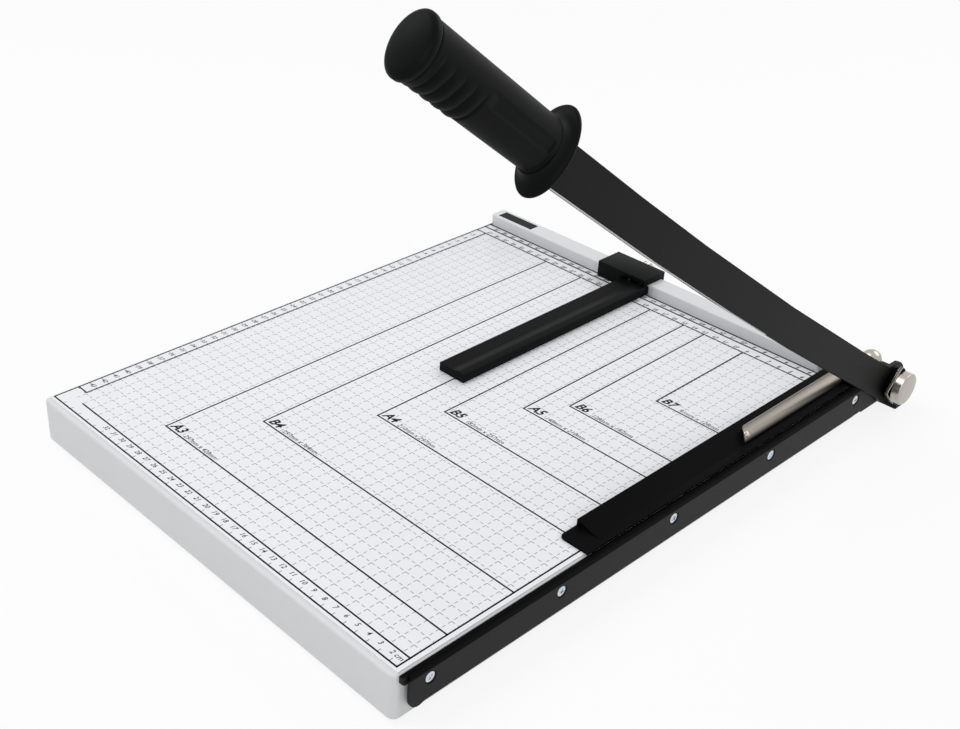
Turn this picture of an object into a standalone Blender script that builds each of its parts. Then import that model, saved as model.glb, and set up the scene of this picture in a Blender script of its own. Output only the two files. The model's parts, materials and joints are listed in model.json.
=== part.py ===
"""Guillotine paper cutter: steel board, side cutting bar, hinged blade arm, sprung paper guard
and a sliding paper gauge.

Datum while modelling: X = 0 is the cut line, Y = 0 the zero of the printed sizes at the fence,
Z = 0 the surface that the paper lies on. +X is the blade side, +Y the pivot end, +Z up.
"""
import math

import bmesh
import bpy
from mathutils import Matrix, Vector

mm = 0.001
degree = math.pi / 180.0

# Shared clearances
seat_gap = 0.3 * mm              # between two pieces that touch
bore_gap = 0.3 * mm              # round a shank in its hole
cut_overrun = 2.0 * mm           # how far a cutter runs past the faces that it cuts

# Board: a folded steel pan, open below, with a printed sheet on top and a flat frame welded in below
board_left = 386.0 * mm          # cut line to the left side
board_right = 8.0 * mm           # cut line to the right side, which carries the cutting bar
board_front = 466.5 * mm         # datum to the front side
board_back = 20.5 * mm           # datum to the back side
board_height = 32.8 * mm         # pan only, without the sheet
pan_wall = 1.5 * mm
pan_flange = 14.0 * mm           # width of the return frame inside the pan's walls
pan_corner_radius = 5.0 * mm
pan_edge_radius = 2.0 * mm
sheet_thickness = 0.5 * mm
sheet_side_margin = 3.0 * mm     # bare metal left of the sheet
sheet_front_margin = 4.5 * mm
sheet_right_margin = 1.8 * mm
sheet_back = 0.8 * mm            # datum to the sheet's back edge

# Cross ribs under the pan's top
rib_width = 24.0 * mm
rib_depth = 11.0 * mm
rib_wall = 1.2 * mm
rib_end_gap = 4.0 * mm
rib_station_shares = (0.28, 0.72)

# Rubber feet, pushed into the return frame
foot_radius = 6.0 * mm
foot_height = 2.2 * mm
foot_stem_radius = 2.6 * mm
foot_barb_radius = 4.0 * mm
foot_barb_height = 1.6 * mm
foot_inset = 20.5 * mm           # along the frame, from the board's corner

# Fence at the back of the sheet
fence_face = 1.5 * mm            # datum to the fence's front face
fence_depth = 17.0 * mm
fence_height = 8.5 * mm          # above the paper surface
fence_side_margin = 1.5 * mm     # board's left side to the fence's left end
fence_left = board_left - fence_side_margin
fence_right = 36.0 * mm
fence_end_radius = 3.0 * mm
fence_screw_radius = 1.9 * mm
fence_screw_head_radius = 3.6 * mm
fence_screw_head_height = 2.0 * mm
fence_screw_bite = 5.5 * mm      # thread length inside the fence
fence_screw_inset = 34.0 * mm

# Side cutting bar
bar_face = 2.7 * mm              # cut line to the bar's outer face
bar_plate = 2.0 * mm
bar_top = 0.5 * mm               # below the paper surface
bar_height = 25.0 * mm
bar_front = 459.2 * mm
bar_lobe_radius = 7.6 * mm
bar_lobe_drop = 1.2 * mm         # how far the lobe hangs below the bar
bar_tail_radius = 15.0 * mm
lower_blade_front = 463.0 * mm
lower_blade_height = 6.8 * mm
lower_blade_chamfer = 1.8 * mm
spacer_radius = 2.9 * mm
bar_screw_first = 442.9 * mm
bar_screw_pitch = 111.4 * mm
bar_screw_count = 5
bar_screw_depth = 10.5 * mm      # paper surface to the row of screws
bar_screw_radius = 2.0 * mm
bar_screw_head_radius = 3.7 * mm
bar_screw_head_height = 1.2 * mm
bar_screw_sunk = 0.4 * mm
bar_screw_length = 13.0 * mm
bar_recess_radius = 4.7 * mm
cross_slot_length = 3.6 * mm
cross_slot_width = 0.9 * mm
cross_slot_depth = 0.9 * mm

# Tapped strip inside the pan's right wall
strip_thickness = 3.5 * mm
strip_height = 16.0 * mm
strip_end_inset = 12.0 * mm

# Pivot
pivot_back = 48.2 * mm           # datum to the axis
pivot_drop = 11.6 * mm           # paper surface down to the axis
bolt_radius = 5.0 * mm
cap_radius = 13.0 * mm
cap_thickness = 6.8 * mm
cap_bevel = 0.8 * mm
lock_side = 25.0 * mm
lock_thickness = 2.5 * mm
lock_corner = 3.0 * mm
lock_turn = 45.0 * degree
collar_radius = 12.5 * mm
collar_thickness = 3.6 * mm
washer_radius = 10.0 * mm
washer_thickness = 1.5 * mm
spring_wire_radius = 1.0 * mm
spring_coil_radius = 7.4 * mm
spring_turns = 4.0
spring_points_per_turn = 10
spring_length = 17.0 * mm
nut_flats = 17.0 * mm
nut_thickness = 6.5 * mm
bolt_tail = 3.0 * mm             # thread that stands out of the nut

# Hinge bracket behind the board
bracket_thickness = 9.0 * mm     # the leg beside the bar
bracket_length = 40.4 * mm       # from the board's back face, along +Y
bracket_foot_gap = 3.6 * mm      # underside of the board up to the bracket's underside
bracket_wing = 46.0 * mm         # the leg along the board's back
bracket_wing_thickness = 6.0 * mm
bracket_top_drop = 2.0 * mm      # paper surface down to the leg's top
shelf_length = 21.5 * mm
shelf_width = 15.0 * mm
shelf_bottom = 1.5 * mm          # above the paper surface
shelf_top = 5.5 * mm
tongue_width = 4.0 * mm
tongue_top = 6.9 * mm
tongue_reach = 4.0 * mm          # beyond the guard's hinge axis
wing_screw_radius = 2.0 * mm
wing_screw_head_radius = 3.8 * mm
wing_screw_head_height = 2.2 * mm
wing_screw_bite = 8.0 * mm
wing_screw_inset = 10.0 * mm

# Foot plate under the hinge bracket
heel_length = 11.0 * mm
heel_start = 50.0 * mm           # datum to the plate's front edge
heel_reach = 8.3 * mm            # cut line to the plate's outer end

# Guard stud with its dome nut
stud_radius = 2.5 * mm
stud_back = 34.0 * mm            # datum to the stud
stud_side = 12.5 * mm            # cut line to the stud
dome_radius = 7.6 * mm
dome_height = 11.0 * mm
dome_skirt = 4.2 * mm

# Blade arm, measured along the arm from its axis
arm_raise = 34.9 * degree        # lift of the arm as it stands
arm_length = 527.0 * mm          # axis to the hand guard
arm_thickness = 3.2 * mm
arm_width = 25.0 * mm
arm_root_offset = -2.8 * mm      # middle of the arm below the axis, at the axis
arm_tip_offset = -0.3 * mm
arm_bow = 5.0 * mm
arm_root_radius = 17.5 * mm
arm_steps = 18
edge_bevel_width = 0.5 * mm      # ground cutting edge, seen from the side
edge_land = 1.6 * mm             # thickness left at the cutting edge
edge_start = 42.0 * mm           # axis to where the ground edge begins
tang_length = 78.0 * mm
tang_width = 15.0 * mm
bush_wall = 1.4 * mm

# Grip and hand guard, measured along the grip from the hand guard's middle
grip_tilt = 2.7 * degree
grip_offset = 1.5 * mm           # grip's axis above the arm's line
hand_guard_half_height = 24.6 * mm
hand_guard_half_width = 14.4 * mm
hand_guard_rim = 3.6 * mm
hand_guard_collar = 5.0 * mm
grip_half_height = 15.4 * mm
grip_half_width = 11.6 * mm
grip_start = 9.0 * mm
grip_length = 103.0 * mm
grip_ring_points = 24
ridge_count = 4
ridge_pitch = 8.4 * mm
ridge_end_inset = 6.8 * mm       # last ridge to the grip's outer end
ridge_depth = 1.8 * mm
ridge_steps = 4
cap_half_height = 16.2 * mm
cap_half_width = 12.2 * mm
grip_cap_rim = 5.0 * mm
grip_cap_dome = 3.6 * mm
cap_plug_length = 6.0 * mm
cap_plug_share = 0.55
grip_pin_radius = 2.0 * mm
grip_pin_inset = 2.0 * mm        # pin's ends below the grip's sides
grip_pin_stations = (26.0 * mm, 58.0 * mm)

# Paper guard beside the cut line
guard_left = 31.0 * mm           # cut line to its upright wall
guard_right = 7.2 * mm
guard_front = 304.0 * mm
guard_wall_front = 287.0 * mm
guard_back = 18.0 * mm
guard_height = 6.0 * mm
guard_wall = 1.6 * mm
guard_flange = 1.3 * mm
guard_corner_radius = 4.0 * mm
guard_nose_drop = 2.4 * mm       # chamfer at the front of the upright wall
guard_curve_steps = 7
guard_slot_gap = 0.6 * mm        # each side of the bracket's tongue
guard_axis_back = 0.5 * mm       # datum to the hinge pin
guard_axis_height = 3.3 * mm
guard_pin_radius = 1.5 * mm
guard_pin_left = 19.5 * mm
guard_pin_right = 6.0 * mm
knuckle_length = 8.0 * mm
knuckle_top = 5.7 * mm
knuckle_ear = 1.2 * mm           # right-hand knuckle

# Curved leaf spring on the guard
leaf_front = 129.0 * mm
leaf_end_slant = 8.0 * mm        # the front end is cut obliquely, short at its left
leaf_back = 4.8 * mm
leaf_left = 22.5 * mm
leaf_right = 13.2 * mm
leaf_top = 8.6 * mm
leaf_thickness = 0.8 * mm
leaf_steps = 8
leaf_lip = 1.6 * mm
rivet_radius = 1.6 * mm
rivet_head_radius = 2.2 * mm
rivet_head_height = 0.9 * mm
rivet_front = 123.0 * mm
rivet_side = 16.5 * mm

# Sliding gauge
gauge_right = 200.5 * mm         # cut line to the gauge's right side
gauge_head_length = 50.0 * mm
gauge_head_front = 5.5 * mm
gauge_head_back = 21.3 * mm
gauge_head_top = 14.5 * mm
gauge_slab = 5.6 * mm
gauge_arm_width = 25.5 * mm
gauge_arm_front = 219.5 * mm
gauge_arm_top = 8.5 * mm
gauge_ride = 0.3 * mm            # gauge above the sheet
gauge_edge = 1.2 * mm
gauge_arch_height = 2.2 * mm
gauge_arch_depth = 2.3 * mm
gauge_arch_inset = 3.0 * mm
gauge_screw_radius = 1.3 * mm
gauge_screw_head_radius = 2.4 * mm
gauge_screw_head_height = 1.5 * mm
gauge_screw_inset = 6.5 * mm
gauge_screw_back = -1.4 * mm
thumb_side = 222.0 * mm          # cut line to the thumbscrew
thumb_height = 7.4 * mm
thumb_shank_radius = 2.0 * mm
thumb_radius = 6.8 * mm
thumb_thickness = 6.0 * mm
thumb_flutes = 18
thumb_flute_depth = 0.6 * mm

round_steps = 28
small_round_steps = 16
corner_steps = 4
round_profile = 0.5              # bevel profile of a quarter circle

# Places worked out from the sizes above
paper_z = 0.0
pan_top = paper_z - sheet_thickness - seat_gap
pan_bottom = pan_top - board_height
pan_inner_top = pan_top - pan_wall
bar_inner = -bar_face - bar_plate
bar_z = -bar_top
bar_bottom = bar_z - bar_height
bar_screw_z = -bar_screw_depth
arm_inner_face = -bar_face + seat_gap
arm_outer_face = arm_inner_face + arm_thickness
pivot_point = Vector((0.0, pivot_back, -pivot_drop))
bracket_outer = bar_inner - seat_gap
bracket_inner = bracket_outer - bracket_thickness
bracket_start = board_back + seat_gap
bracket_bottom = pan_bottom + bracket_foot_gap
guard_floor = paper_z + seat_gap
guard_axis = Vector((0.0, guard_axis_back, guard_axis_height))
thumb_axis = Vector((-thumb_side, 0.0, thumb_height))
grip_origin = Vector(((arm_inner_face + arm_outer_face) / 2, -arm_length, grip_offset))


def clear_scene():
    for item in list(bpy.data.objects):
        bpy.data.objects.remove(item, do_unlink=True)


def make_material(name, colour, roughness, metallic=0.0):
    material = bpy.data.materials.new(name)
    material.use_nodes = True
    shader = material.node_tree.nodes["Principled BSDF"]
    shader.inputs["Base Color"].default_value = (*colour, 1.0)
    shader.inputs["Roughness"].default_value = roughness
    shader.inputs["Metallic"].default_value = metallic
    return material


def make_frame(name, parent, place, turn=0.0):
    """An empty on a joint's axis, turned about X."""
    empty = bpy.data.objects.new(name, None)
    bpy.context.collection.objects.link(empty)
    empty.parent = parent
    empty.location = place
    empty.rotation_euler = (turn, 0.0, 0.0)
    return empty


def frame_matrix(frame):
    matrix = Matrix.Translation(frame.location) @ Matrix.Rotation(frame.rotation_euler[0], 4, "X")
    return frame_matrix(frame.parent) @ matrix if frame.parent else matrix


reach_low = Vector((math.inf,) * 3)
reach_high = Vector((-math.inf,) * 3)


def note_reach(points, frame):
    matrix = frame_matrix(frame)
    for point in points:
        world = matrix @ point
        for axis in range(3):
            reach_low[axis] = min(reach_low[axis], world[axis])
            reach_high[axis] = max(reach_high[axis], world[axis])


def finish_mesh(name, mesh_data, smooth_angle):
    bmesh.ops.recalc_face_normals(mesh_data, faces=mesh_data.faces)
    mesh = bpy.data.meshes.new(name)
    mesh_data.to_mesh(mesh)
    mesh_data.free()
    if smooth_angle:
        mesh.shade_smooth()
        mesh.set_sharp_from_angle(angle=smooth_angle)
    return mesh


def add_piece(name, mesh_data, frame, material, smooth_angle=0.0):
    note_reach([vertex.co.copy() for vertex in mesh_data.verts], frame)
    mesh = finish_mesh(name, mesh_data, smooth_angle)
    piece = bpy.data.objects.new(name, mesh)
    bpy.context.collection.objects.link(piece)
    piece.parent = frame
    mesh.materials.append(material)
    return piece


def change_piece(piece, tool_mesh, operation):
    """Cut tool_mesh out of a piece, or add it on, with a Boolean."""
    tool = bpy.data.objects.new(piece.name + "_tool", finish_mesh(piece.name + "_tool", tool_mesh, 0.0))
    bpy.context.collection.objects.link(tool)
    tool.parent = piece.parent
    tool.hide_render = True
    tool.display_type = "WIRE"
    modifier = piece.modifiers.new("shape", "BOOLEAN")
    modifier.operation = operation
    modifier.object = tool
    modifier.solver = "EXACT"
    return piece


def cut(piece, tool_mesh):
    return change_piece(piece, tool_mesh, "DIFFERENCE")


def unite(piece, tool_mesh):
    if piece.parent:
        note_reach([vertex.co.copy() for vertex in tool_mesh.verts], piece.parent)
    return change_piece(piece, tool_mesh, "UNION")


def arc(centre, radius, start, end, steps):
    """Points on an arc, angles in degrees from the first axis to the second."""
    angles = [start + (end - start) * step / steps for step in range(steps + 1)]
    return [(centre[0] + radius * math.cos(angle * degree), centre[1] + radius * math.sin(angle * degree))
            for angle in angles]


def prism(outline, axis, low, high):
    """Extrude an outline, given in the two axes other than axis, from low to high."""
    mesh_data = bmesh.new()
    ring = []
    for first, second in outline:
        place = [first, second]
        place.insert(axis, low)
        ring.append(mesh_data.verts.new(place))
    face = mesh_data.faces.new(ring)
    moved = bmesh.ops.extrude_face_region(mesh_data, geom=[face])
    step = Vector((0.0, 0.0, 0.0))
    step[axis] = high - low
    corners = [item for item in moved["geom"] if isinstance(item, bmesh.types.BMVert)]
    bmesh.ops.translate(mesh_data, verts=corners, vec=step)
    return mesh_data


def block(low, high):
    outline = [(low[0], low[1]), (high[0], low[1]), (high[0], high[1]), (low[0], high[1])]
    return prism(outline, 2, low[2], high[2])


def round_bar(axis, centre, radius, low, high, steps=small_round_steps):
    """A cylinder along an axis; centre gives its place in the other two axes."""
    return prism(arc(centre, radius, 0.0, 360.0 * (steps - 1) / steps, steps - 1), axis, low, high)


def turned(axis, centre, profile, steps=small_round_steps):
    """Turn a profile of (place along the axis, radius) points into a solid; it starts and ends on the axis."""
    mesh_data = bmesh.new()
    rings = []
    for along, radius in profile:
        points = [centre] if radius == 0.0 else arc(centre, radius, 0.0, 360.0 * (steps - 1) / steps, steps - 1)
        ring = []
        for first, second in points:
            place = [first, second]
            place.insert(axis, along)
            ring.append(mesh_data.verts.new(place))
        rings.append(ring)
    bridge_rings(mesh_data, rings)
    return mesh_data


def bridge_rings(mesh_data, rings):
    """Join neighbouring rings with faces; a ring of one point closes to a fan."""
    for near, far in zip(rings, rings[1:]):
        count = max(len(near), len(far))
        for step in range(count):
            after = (step + 1) % count
            if len(near) == 1:
                mesh_data.faces.new((near[0], far[step], far[after]))
            elif len(far) == 1:
                mesh_data.faces.new((near[step], near[after], far[0]))
            else:
                mesh_data.faces.new((near[step], near[after], far[after], far[step]))
    for ring in (rings[0], rings[-1]):
        if len(ring) > 1:
            mesh_data.faces.new(ring)


def soften(piece, width, segments=2, angle=40.0 * degree):
    modifier = piece.modifiers.new("soft edges", "BEVEL")
    modifier.width = width
    modifier.segments = segments
    modifier.limit_method = "ANGLE"
    modifier.angle_limit = angle
    return piece


def rounded_rectangle(left, right, front, back, radius, steps=corner_steps):
    corners = ((right - radius, back - radius, 0.0), (left + radius, back - radius, 90.0),
               (left + radius, front + radius, 180.0), (right - radius, front + radius, 270.0))
    outline = []
    for across, along, start in corners:
        outline += arc((across, along), radius, start, start + 90.0, steps)
    return outline


def foot_places():
    """Centres of the four feet, on the middle of the return frame's width."""
    side_left = -board_left + pan_flange / 2 + pan_wall
    side_right = -board_right - pan_flange / 2 - pan_wall
    return {"foot_front_left": (side_left, -board_front + foot_inset),
            "foot_front_right": (side_right, -board_front + foot_inset),
            "foot_rear_left": (side_left, board_back - foot_inset),
            "foot_rear_right": (side_right, board_back - foot_inset)}


def bar_screw_places():
    return [-bar_screw_first + index * bar_screw_pitch for index in range(bar_screw_count)]


def fence_screw_places():
    return (-fence_left + fence_screw_inset, -fence_right - fence_screw_inset)


def wing_screw_places():
    inner_end = bracket_inner - bracket_wing
    return (inner_end + wing_screw_inset, bracket_inner - wing_screw_inset)


def build_pan(frame, paint):
    outline = rounded_rectangle(-board_left, -board_right, -board_front, board_back, pan_corner_radius)
    mesh_data = prism(outline, 2, pan_bottom, pan_top)
    rim = [edge for edge in mesh_data.edges if all(vertex.co.z > pan_top - seat_gap for vertex in edge.verts)]
    bmesh.ops.bevel(mesh_data, geom=rim, offset=pan_edge_radius, segments=corner_steps - 1, profile=round_profile,
                    affect="EDGES")
    pan = add_piece("base_pan", mesh_data, frame, paint, 50.0 * degree)
    cut(pan, block((-board_left + pan_wall, -board_front + pan_wall, pan_bottom - cut_overrun),
                   (-board_right - pan_wall, board_back - pan_wall, pan_inner_top)))
    for along in bar_screw_places():
        cut(pan, round_bar(0, (along, bar_screw_z), bar_screw_radius + bore_gap,
                           -board_right - pan_wall - cut_overrun, -board_right + cut_overrun))
    for across in fence_screw_places():
        cut(pan, round_bar(2, (across, fence_face + fence_depth / 2), fence_screw_radius + bore_gap,
                           pan_inner_top - cut_overrun, pan_top + cut_overrun))
    for across in wing_screw_places():
        cut(pan, round_bar(1, (across, wing_screw_z()), wing_screw_radius + bore_gap,
                           board_back - pan_wall - cut_overrun, board_back + cut_overrun))


def build_return_frame(frame, paint):
    """Flat frame flush with the bottom of the pan's walls; the feet are pushed into it."""
    top = pan_bottom + pan_wall
    edge = pan_wall + seat_gap
    window = pan_wall + pan_flange
    ring = add_piece("return_frame", block((-board_left + edge, -board_front + edge, pan_bottom),
                                           (-board_right - edge, board_back - edge, top)), frame, paint)
    cut(ring, block((-board_left + window, -board_front + window, pan_bottom - cut_overrun),
                    (-board_right - window, board_back - window, top + cut_overrun)))
    for place in foot_places().values():
        cut(ring, round_bar(2, place, foot_stem_radius + bore_gap, pan_bottom - cut_overrun, top + cut_overrun))


def wing_screw_z():
    return (bracket_bottom - bracket_top_drop) / 2


def build_sheet(frame, vinyl):
    left = -board_left + sheet_side_margin
    right = -board_right - sheet_right_margin
    front = -board_front + sheet_front_margin
    add_piece("printed_sheet", block((left, front, -sheet_thickness), (right, -sheet_back, paper_z)), frame, vinyl)


def build_ribs(frame, steel):
    left = -board_left + pan_wall + rib_end_gap
    right = -board_right - pan_wall - strip_thickness - seat_gap - rib_end_gap
    top = pan_inner_top - seat_gap
    depth = board_front + board_back
    for name, share in zip(("cross_rib_front", "cross_rib_rear"), rib_station_shares):
        middle = -board_front + depth * share
        low, high = middle - rib_width / 2, middle + rib_width / 2
        outline = [(low, top), (high, top), (high, top - rib_depth), (high - rib_wall, top - rib_depth),
                   (high - rib_wall, top - rib_wall), (low + rib_wall, top - rib_wall),
                   (low + rib_wall, top - rib_depth), (low, top - rib_depth)]
        add_piece(name, prism(outline, 0, left, right), frame, steel)


def build_feet(frame, rubber):
    top = pan_bottom - seat_gap
    stem_top = pan_bottom + pan_wall + seat_gap
    for name, place in foot_places().items():
        profile = [(top - foot_height, 0.0), (top - foot_height, foot_radius), (top, foot_radius),
                   (top, foot_stem_radius), (stem_top, foot_stem_radius), (stem_top, foot_barb_radius),
                   (stem_top + foot_barb_height, foot_stem_radius), (stem_top + foot_barb_height, 0.0)]
        add_piece(name, turned(2, place, profile), frame, rubber, 40.0 * degree)


def build_fence(frame, paint, zinc):
    outline = rounded_rectangle(-fence_left, -fence_right, fence_face, fence_face + fence_depth, fence_end_radius)
    low = pan_top + seat_gap
    fence = add_piece("fence", prism(outline, 2, low, fence_height), frame, paint, 40.0 * degree)
    head_top = pan_inner_top - seat_gap
    for name, across in zip(("fence_screw_left", "fence_screw_right"), fence_screw_places()):
        place = (across, fence_face + fence_depth / 2)
        cut(fence, round_bar(2, place, fence_screw_radius + bore_gap, low - cut_overrun,
                             low + fence_screw_bite + seat_gap))
        profile = [(head_top - fence_screw_head_height, 0.0), (head_top - fence_screw_head_height, fence_screw_head_radius),
                   (head_top, fence_screw_head_radius), (head_top, fence_screw_radius),
                   (low + fence_screw_bite, fence_screw_radius), (low + fence_screw_bite, 0.0)]
        add_piece(name, turned(2, place, profile), frame, zinc, 40.0 * degree)


def bar_side_outline():
    """The bar's plate seen from the side, as (Y, Z): a lobe at the front, a round tail on the pivot."""
    lobe = (-bar_front + bar_lobe_radius, bar_bottom - bar_lobe_drop + bar_lobe_radius)
    lobe_end = 270.0 + math.acos((lobe[1] - bar_bottom) / bar_lobe_radius) / degree
    outline = [(-bar_front, bar_z)] + arc(lobe, bar_lobe_radius, 180.0, lobe_end, 2 * corner_steps)
    upper_radius = bar_height - bar_tail_radius
    outline += arc((pivot_back, bar_bottom + bar_tail_radius), bar_tail_radius, 270.0, 360.0, 2 * corner_steps)
    outline += arc((pivot_back + bar_tail_radius - upper_radius, bar_z - upper_radius), upper_radius,
                   0.0, 90.0, 2 * corner_steps)[1:]
    return outline


def build_cutting_bar(frame, paint):
    bar = add_piece("cutting_bar", prism(bar_side_outline(), 0, bar_inner, -bar_face), frame, paint)
    for along in bar_screw_places():
        cut(bar, turned(0, (along, bar_screw_z), bar_screw_recess()))
    cut(bar, round_bar(0, (pivot_back, -pivot_drop), bolt_radius + bore_gap,
                       bar_inner - cut_overrun, -bar_face + cut_overrun, round_steps))


def bar_screw_recess():
    """Countersunk hole for a bar screw: (X, radius) from behind the bar out past its face."""
    head_outer = -bar_face - bar_screw_sunk
    head_inner = head_outer - bar_screw_head_height
    hole = bar_screw_radius + bore_gap
    return [(bar_inner - cut_overrun, 0.0), (bar_inner - cut_overrun, hole), (head_inner, hole),
            (head_outer, bar_recess_radius), (-bar_face + cut_overrun, bar_recess_radius),
            (-bar_face + cut_overrun, 0.0)]


def build_lower_blade(frame, paint, steel):
    """Fixed blade strip between the bar and the board, level with the bar's top."""
    low = bar_z - lower_blade_height
    outline = [(-lower_blade_front, bar_z), (-lower_blade_front, low + lower_blade_chamfer),
               (-lower_blade_front + lower_blade_chamfer, low), (board_back, low), (board_back, bar_z)]
    inner = -board_right + seat_gap
    outer = bar_inner - seat_gap
    add_piece("lower_blade", prism(outline, 0, inner, outer), frame, paint)
    for index, along in enumerate(bar_screw_places()):
        place = (along, bar_screw_z)
        spacer = add_piece("bar_spacer_%d" % (index + 1), round_bar(0, place, spacer_radius, inner, outer),
                           frame, steel, 40.0 * degree)
        cut(spacer, round_bar(0, place, bar_screw_radius + bore_gap, inner - cut_overrun, outer + cut_overrun))


def build_bar_screws(frame, zinc):
    head_outer = -bar_face - bar_screw_sunk
    for index, along in enumerate(bar_screw_places()):
        place = (along, bar_screw_z)
        profile = [(head_outer - bar_screw_length, 0.0), (head_outer - bar_screw_length, bar_screw_radius),
                   (head_outer - bar_screw_head_height, bar_screw_radius),
                   (head_outer, bar_screw_head_radius), (head_outer, 0.0)]
        screw = add_piece("bar_screw_%d" % (index + 1), turned(0, place, profile), frame, zinc, 40.0 * degree)
        half, thin = cross_slot_length / 2, cross_slot_width / 2
        floor = head_outer - cross_slot_depth
        top = head_outer + cut_overrun
        arms = [(thin, half), (thin, thin), (half, thin), (half, -thin), (thin, -thin), (thin, -half),
                (-thin, -half), (-thin, -thin), (-half, -thin), (-half, thin), (-thin, thin), (-thin, half)]
        outline = [(along + first, bar_screw_z + second) for first, second in arms]
        cut(screw, prism(outline, 0, floor, top))


def build_tapped_strip(frame, steel):
    outer = -board_right - pan_wall - seat_gap
    low = bar_screw_z - strip_height / 2
    strip = add_piece("tapped_strip", block((outer - strip_thickness, -board_front + strip_end_inset, low),
                                            (outer, board_back - strip_end_inset, low + strip_height)), frame, steel)
    for along in bar_screw_places():
        cut(strip, round_bar(0, (along, bar_screw_z), bar_screw_radius + bore_gap,
                             outer - strip_thickness - cut_overrun, outer + cut_overrun))


def ring_piece(name, low, high, radius, hole, frame, material, steps=round_steps):
    """A flat ring on the pivot's axis."""
    place = (pivot_back, -pivot_drop)
    piece = add_piece(name, round_bar(0, place, radius, low, high, steps), frame, material, 40.0 * degree)
    return cut(piece, round_bar(0, place, hole, low - cut_overrun, high + cut_overrun, steps))


def pivot_stack():
    """X places of the pieces on the bolt, outer face first."""
    collar_low = arm_outer_face + seat_gap
    lock_low = collar_low + collar_thickness + seat_gap
    cap_low = lock_low + lock_thickness + seat_gap
    washer_high = bracket_inner - seat_gap
    spring_high = washer_high - washer_thickness - seat_gap
    keeper_high = spring_high - spring_length - seat_gap
    nut_high = keeper_high - washer_thickness - seat_gap
    return {"collar": collar_low, "lock": lock_low, "cap": cap_low, "washer": washer_high,
            "spring": spring_high, "keeper": keeper_high, "nut": nut_high}


def build_pivot(frame, nickel, steel, dark):
    stack = pivot_stack()
    hole = bolt_radius + bore_gap
    place = (pivot_back, -pivot_drop)
    cap_high = stack["cap"] + cap_thickness
    bolt_low = stack["nut"] - nut_thickness - bolt_tail
    profile = [(bolt_low, 0.0), (bolt_low, bolt_radius), (stack["cap"], bolt_radius), (stack["cap"], cap_radius),
               (cap_high - cap_bevel, cap_radius), (cap_high, cap_radius - cap_bevel), (cap_high, 0.0)]
    add_piece("pivot_bolt", turned(0, place, profile, round_steps), frame, nickel, 40.0 * degree)
    ring_piece("pivot_collar", stack["collar"], stack["collar"] + collar_thickness, collar_radius, hole, frame, dark)
    build_lock_plate(frame, steel, stack["lock"], hole)
    ring_piece("spring_seat_outer", stack["washer"] - washer_thickness, stack["washer"], washer_radius, hole,
               frame, nickel)
    ring_piece("spring_seat_inner", stack["keeper"] - washer_thickness, stack["keeper"], washer_radius, hole,
               frame, nickel)
    build_pivot_spring(frame, steel, stack["spring"])
    build_pivot_nut(frame, nickel, stack["nut"], hole)


def build_lock_plate(frame, steel, low, hole):
    half = lock_side / 2
    square = rounded_rectangle(-half, half, -half, half, lock_corner)
    outline = [(pivot_back + first * math.cos(lock_turn) - second * math.sin(lock_turn),
                -pivot_drop + first * math.sin(lock_turn) + second * math.cos(lock_turn))
               for first, second in square]
    plate = add_piece("lock_plate", prism(outline, 0, low, low + lock_thickness), frame, steel, 40.0 * degree)
    cut(plate, round_bar(0, (pivot_back, -pivot_drop), hole, low - cut_overrun,
                         low + lock_thickness + cut_overrun, round_steps))


def spring_points(high):
    """Helix along -X, with a straight run of one wire diameter square to each seat."""
    count = int(spring_turns * spring_points_per_turn)
    wire = 2 * spring_wire_radius
    low = high - spring_length
    travel = spring_length - 2 * wire
    points = [Vector((high, pivot_back + spring_coil_radius, -pivot_drop))]
    for step in range(count + 1):
        angle = 2 * math.pi * step / spring_points_per_turn
        points.append(Vector((high - wire - travel * step / count,
                              pivot_back + spring_coil_radius * math.cos(angle),
                              -pivot_drop + spring_coil_radius * math.sin(angle))))
    last = points[-1]
    points.append(Vector((low, last.y, last.z)))
    return points


def spring_self_gap(points):
    """Least distance between runs of wire at least half a turn apart, less the wire."""
    apart = spring_points_per_turn // 2
    nearest = min((first - second).length for index, first in enumerate(points)
                  for second in points[index + apart:])
    return nearest - 2 * spring_wire_radius


def build_pivot_spring(frame, steel, high):
    points = spring_points(high)
    curve = bpy.data.curves.new("pivot_spring", "CURVE")
    curve.dimensions = "3D"
    curve.bevel_depth = spring_wire_radius
    curve.bevel_resolution = 1
    curve.use_fill_caps = True
    spline = curve.splines.new("POLY")
    spline.points.add(len(points) - 1)
    for target, point in zip(spline.points, points):
        target.co = (*point, 1.0)
    spring = bpy.data.objects.new("pivot_spring", curve)
    bpy.context.collection.objects.link(spring)
    spring.parent = frame
    curve.materials.append(steel)
    print("pivot spring, least gap between its curls: %.2f mm" % (spring_self_gap(points) / mm))


def build_pivot_nut(frame, nickel, high, hole):
    outline = arc((pivot_back, -pivot_drop), nut_flats / math.sqrt(3.0), 0.0, 300.0, 5)
    nut = add_piece("pivot_nut", prism(outline, 0, high - nut_thickness, high), frame, nickel)
    cut(nut, round_bar(0, (pivot_back, -pivot_drop), hole, high - nut_thickness - cut_overrun,
                       high + cut_overrun, round_steps))


def bracket_leg_outline():
    """The leg beside the bar seen from the side, as (Y, Z), its upper corner rounded about the pivot."""
    back = bracket_start + bracket_length
    reach = back - pivot_back
    top = -bracket_top_drop
    end = math.asin((top + pivot_drop) / reach) / degree
    outline = [(bracket_start, top), (bracket_start, bracket_bottom), (back, bracket_bottom)]
    return outline + arc((pivot_back, -pivot_drop), reach, 0.0, end, corner_steps)


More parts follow.
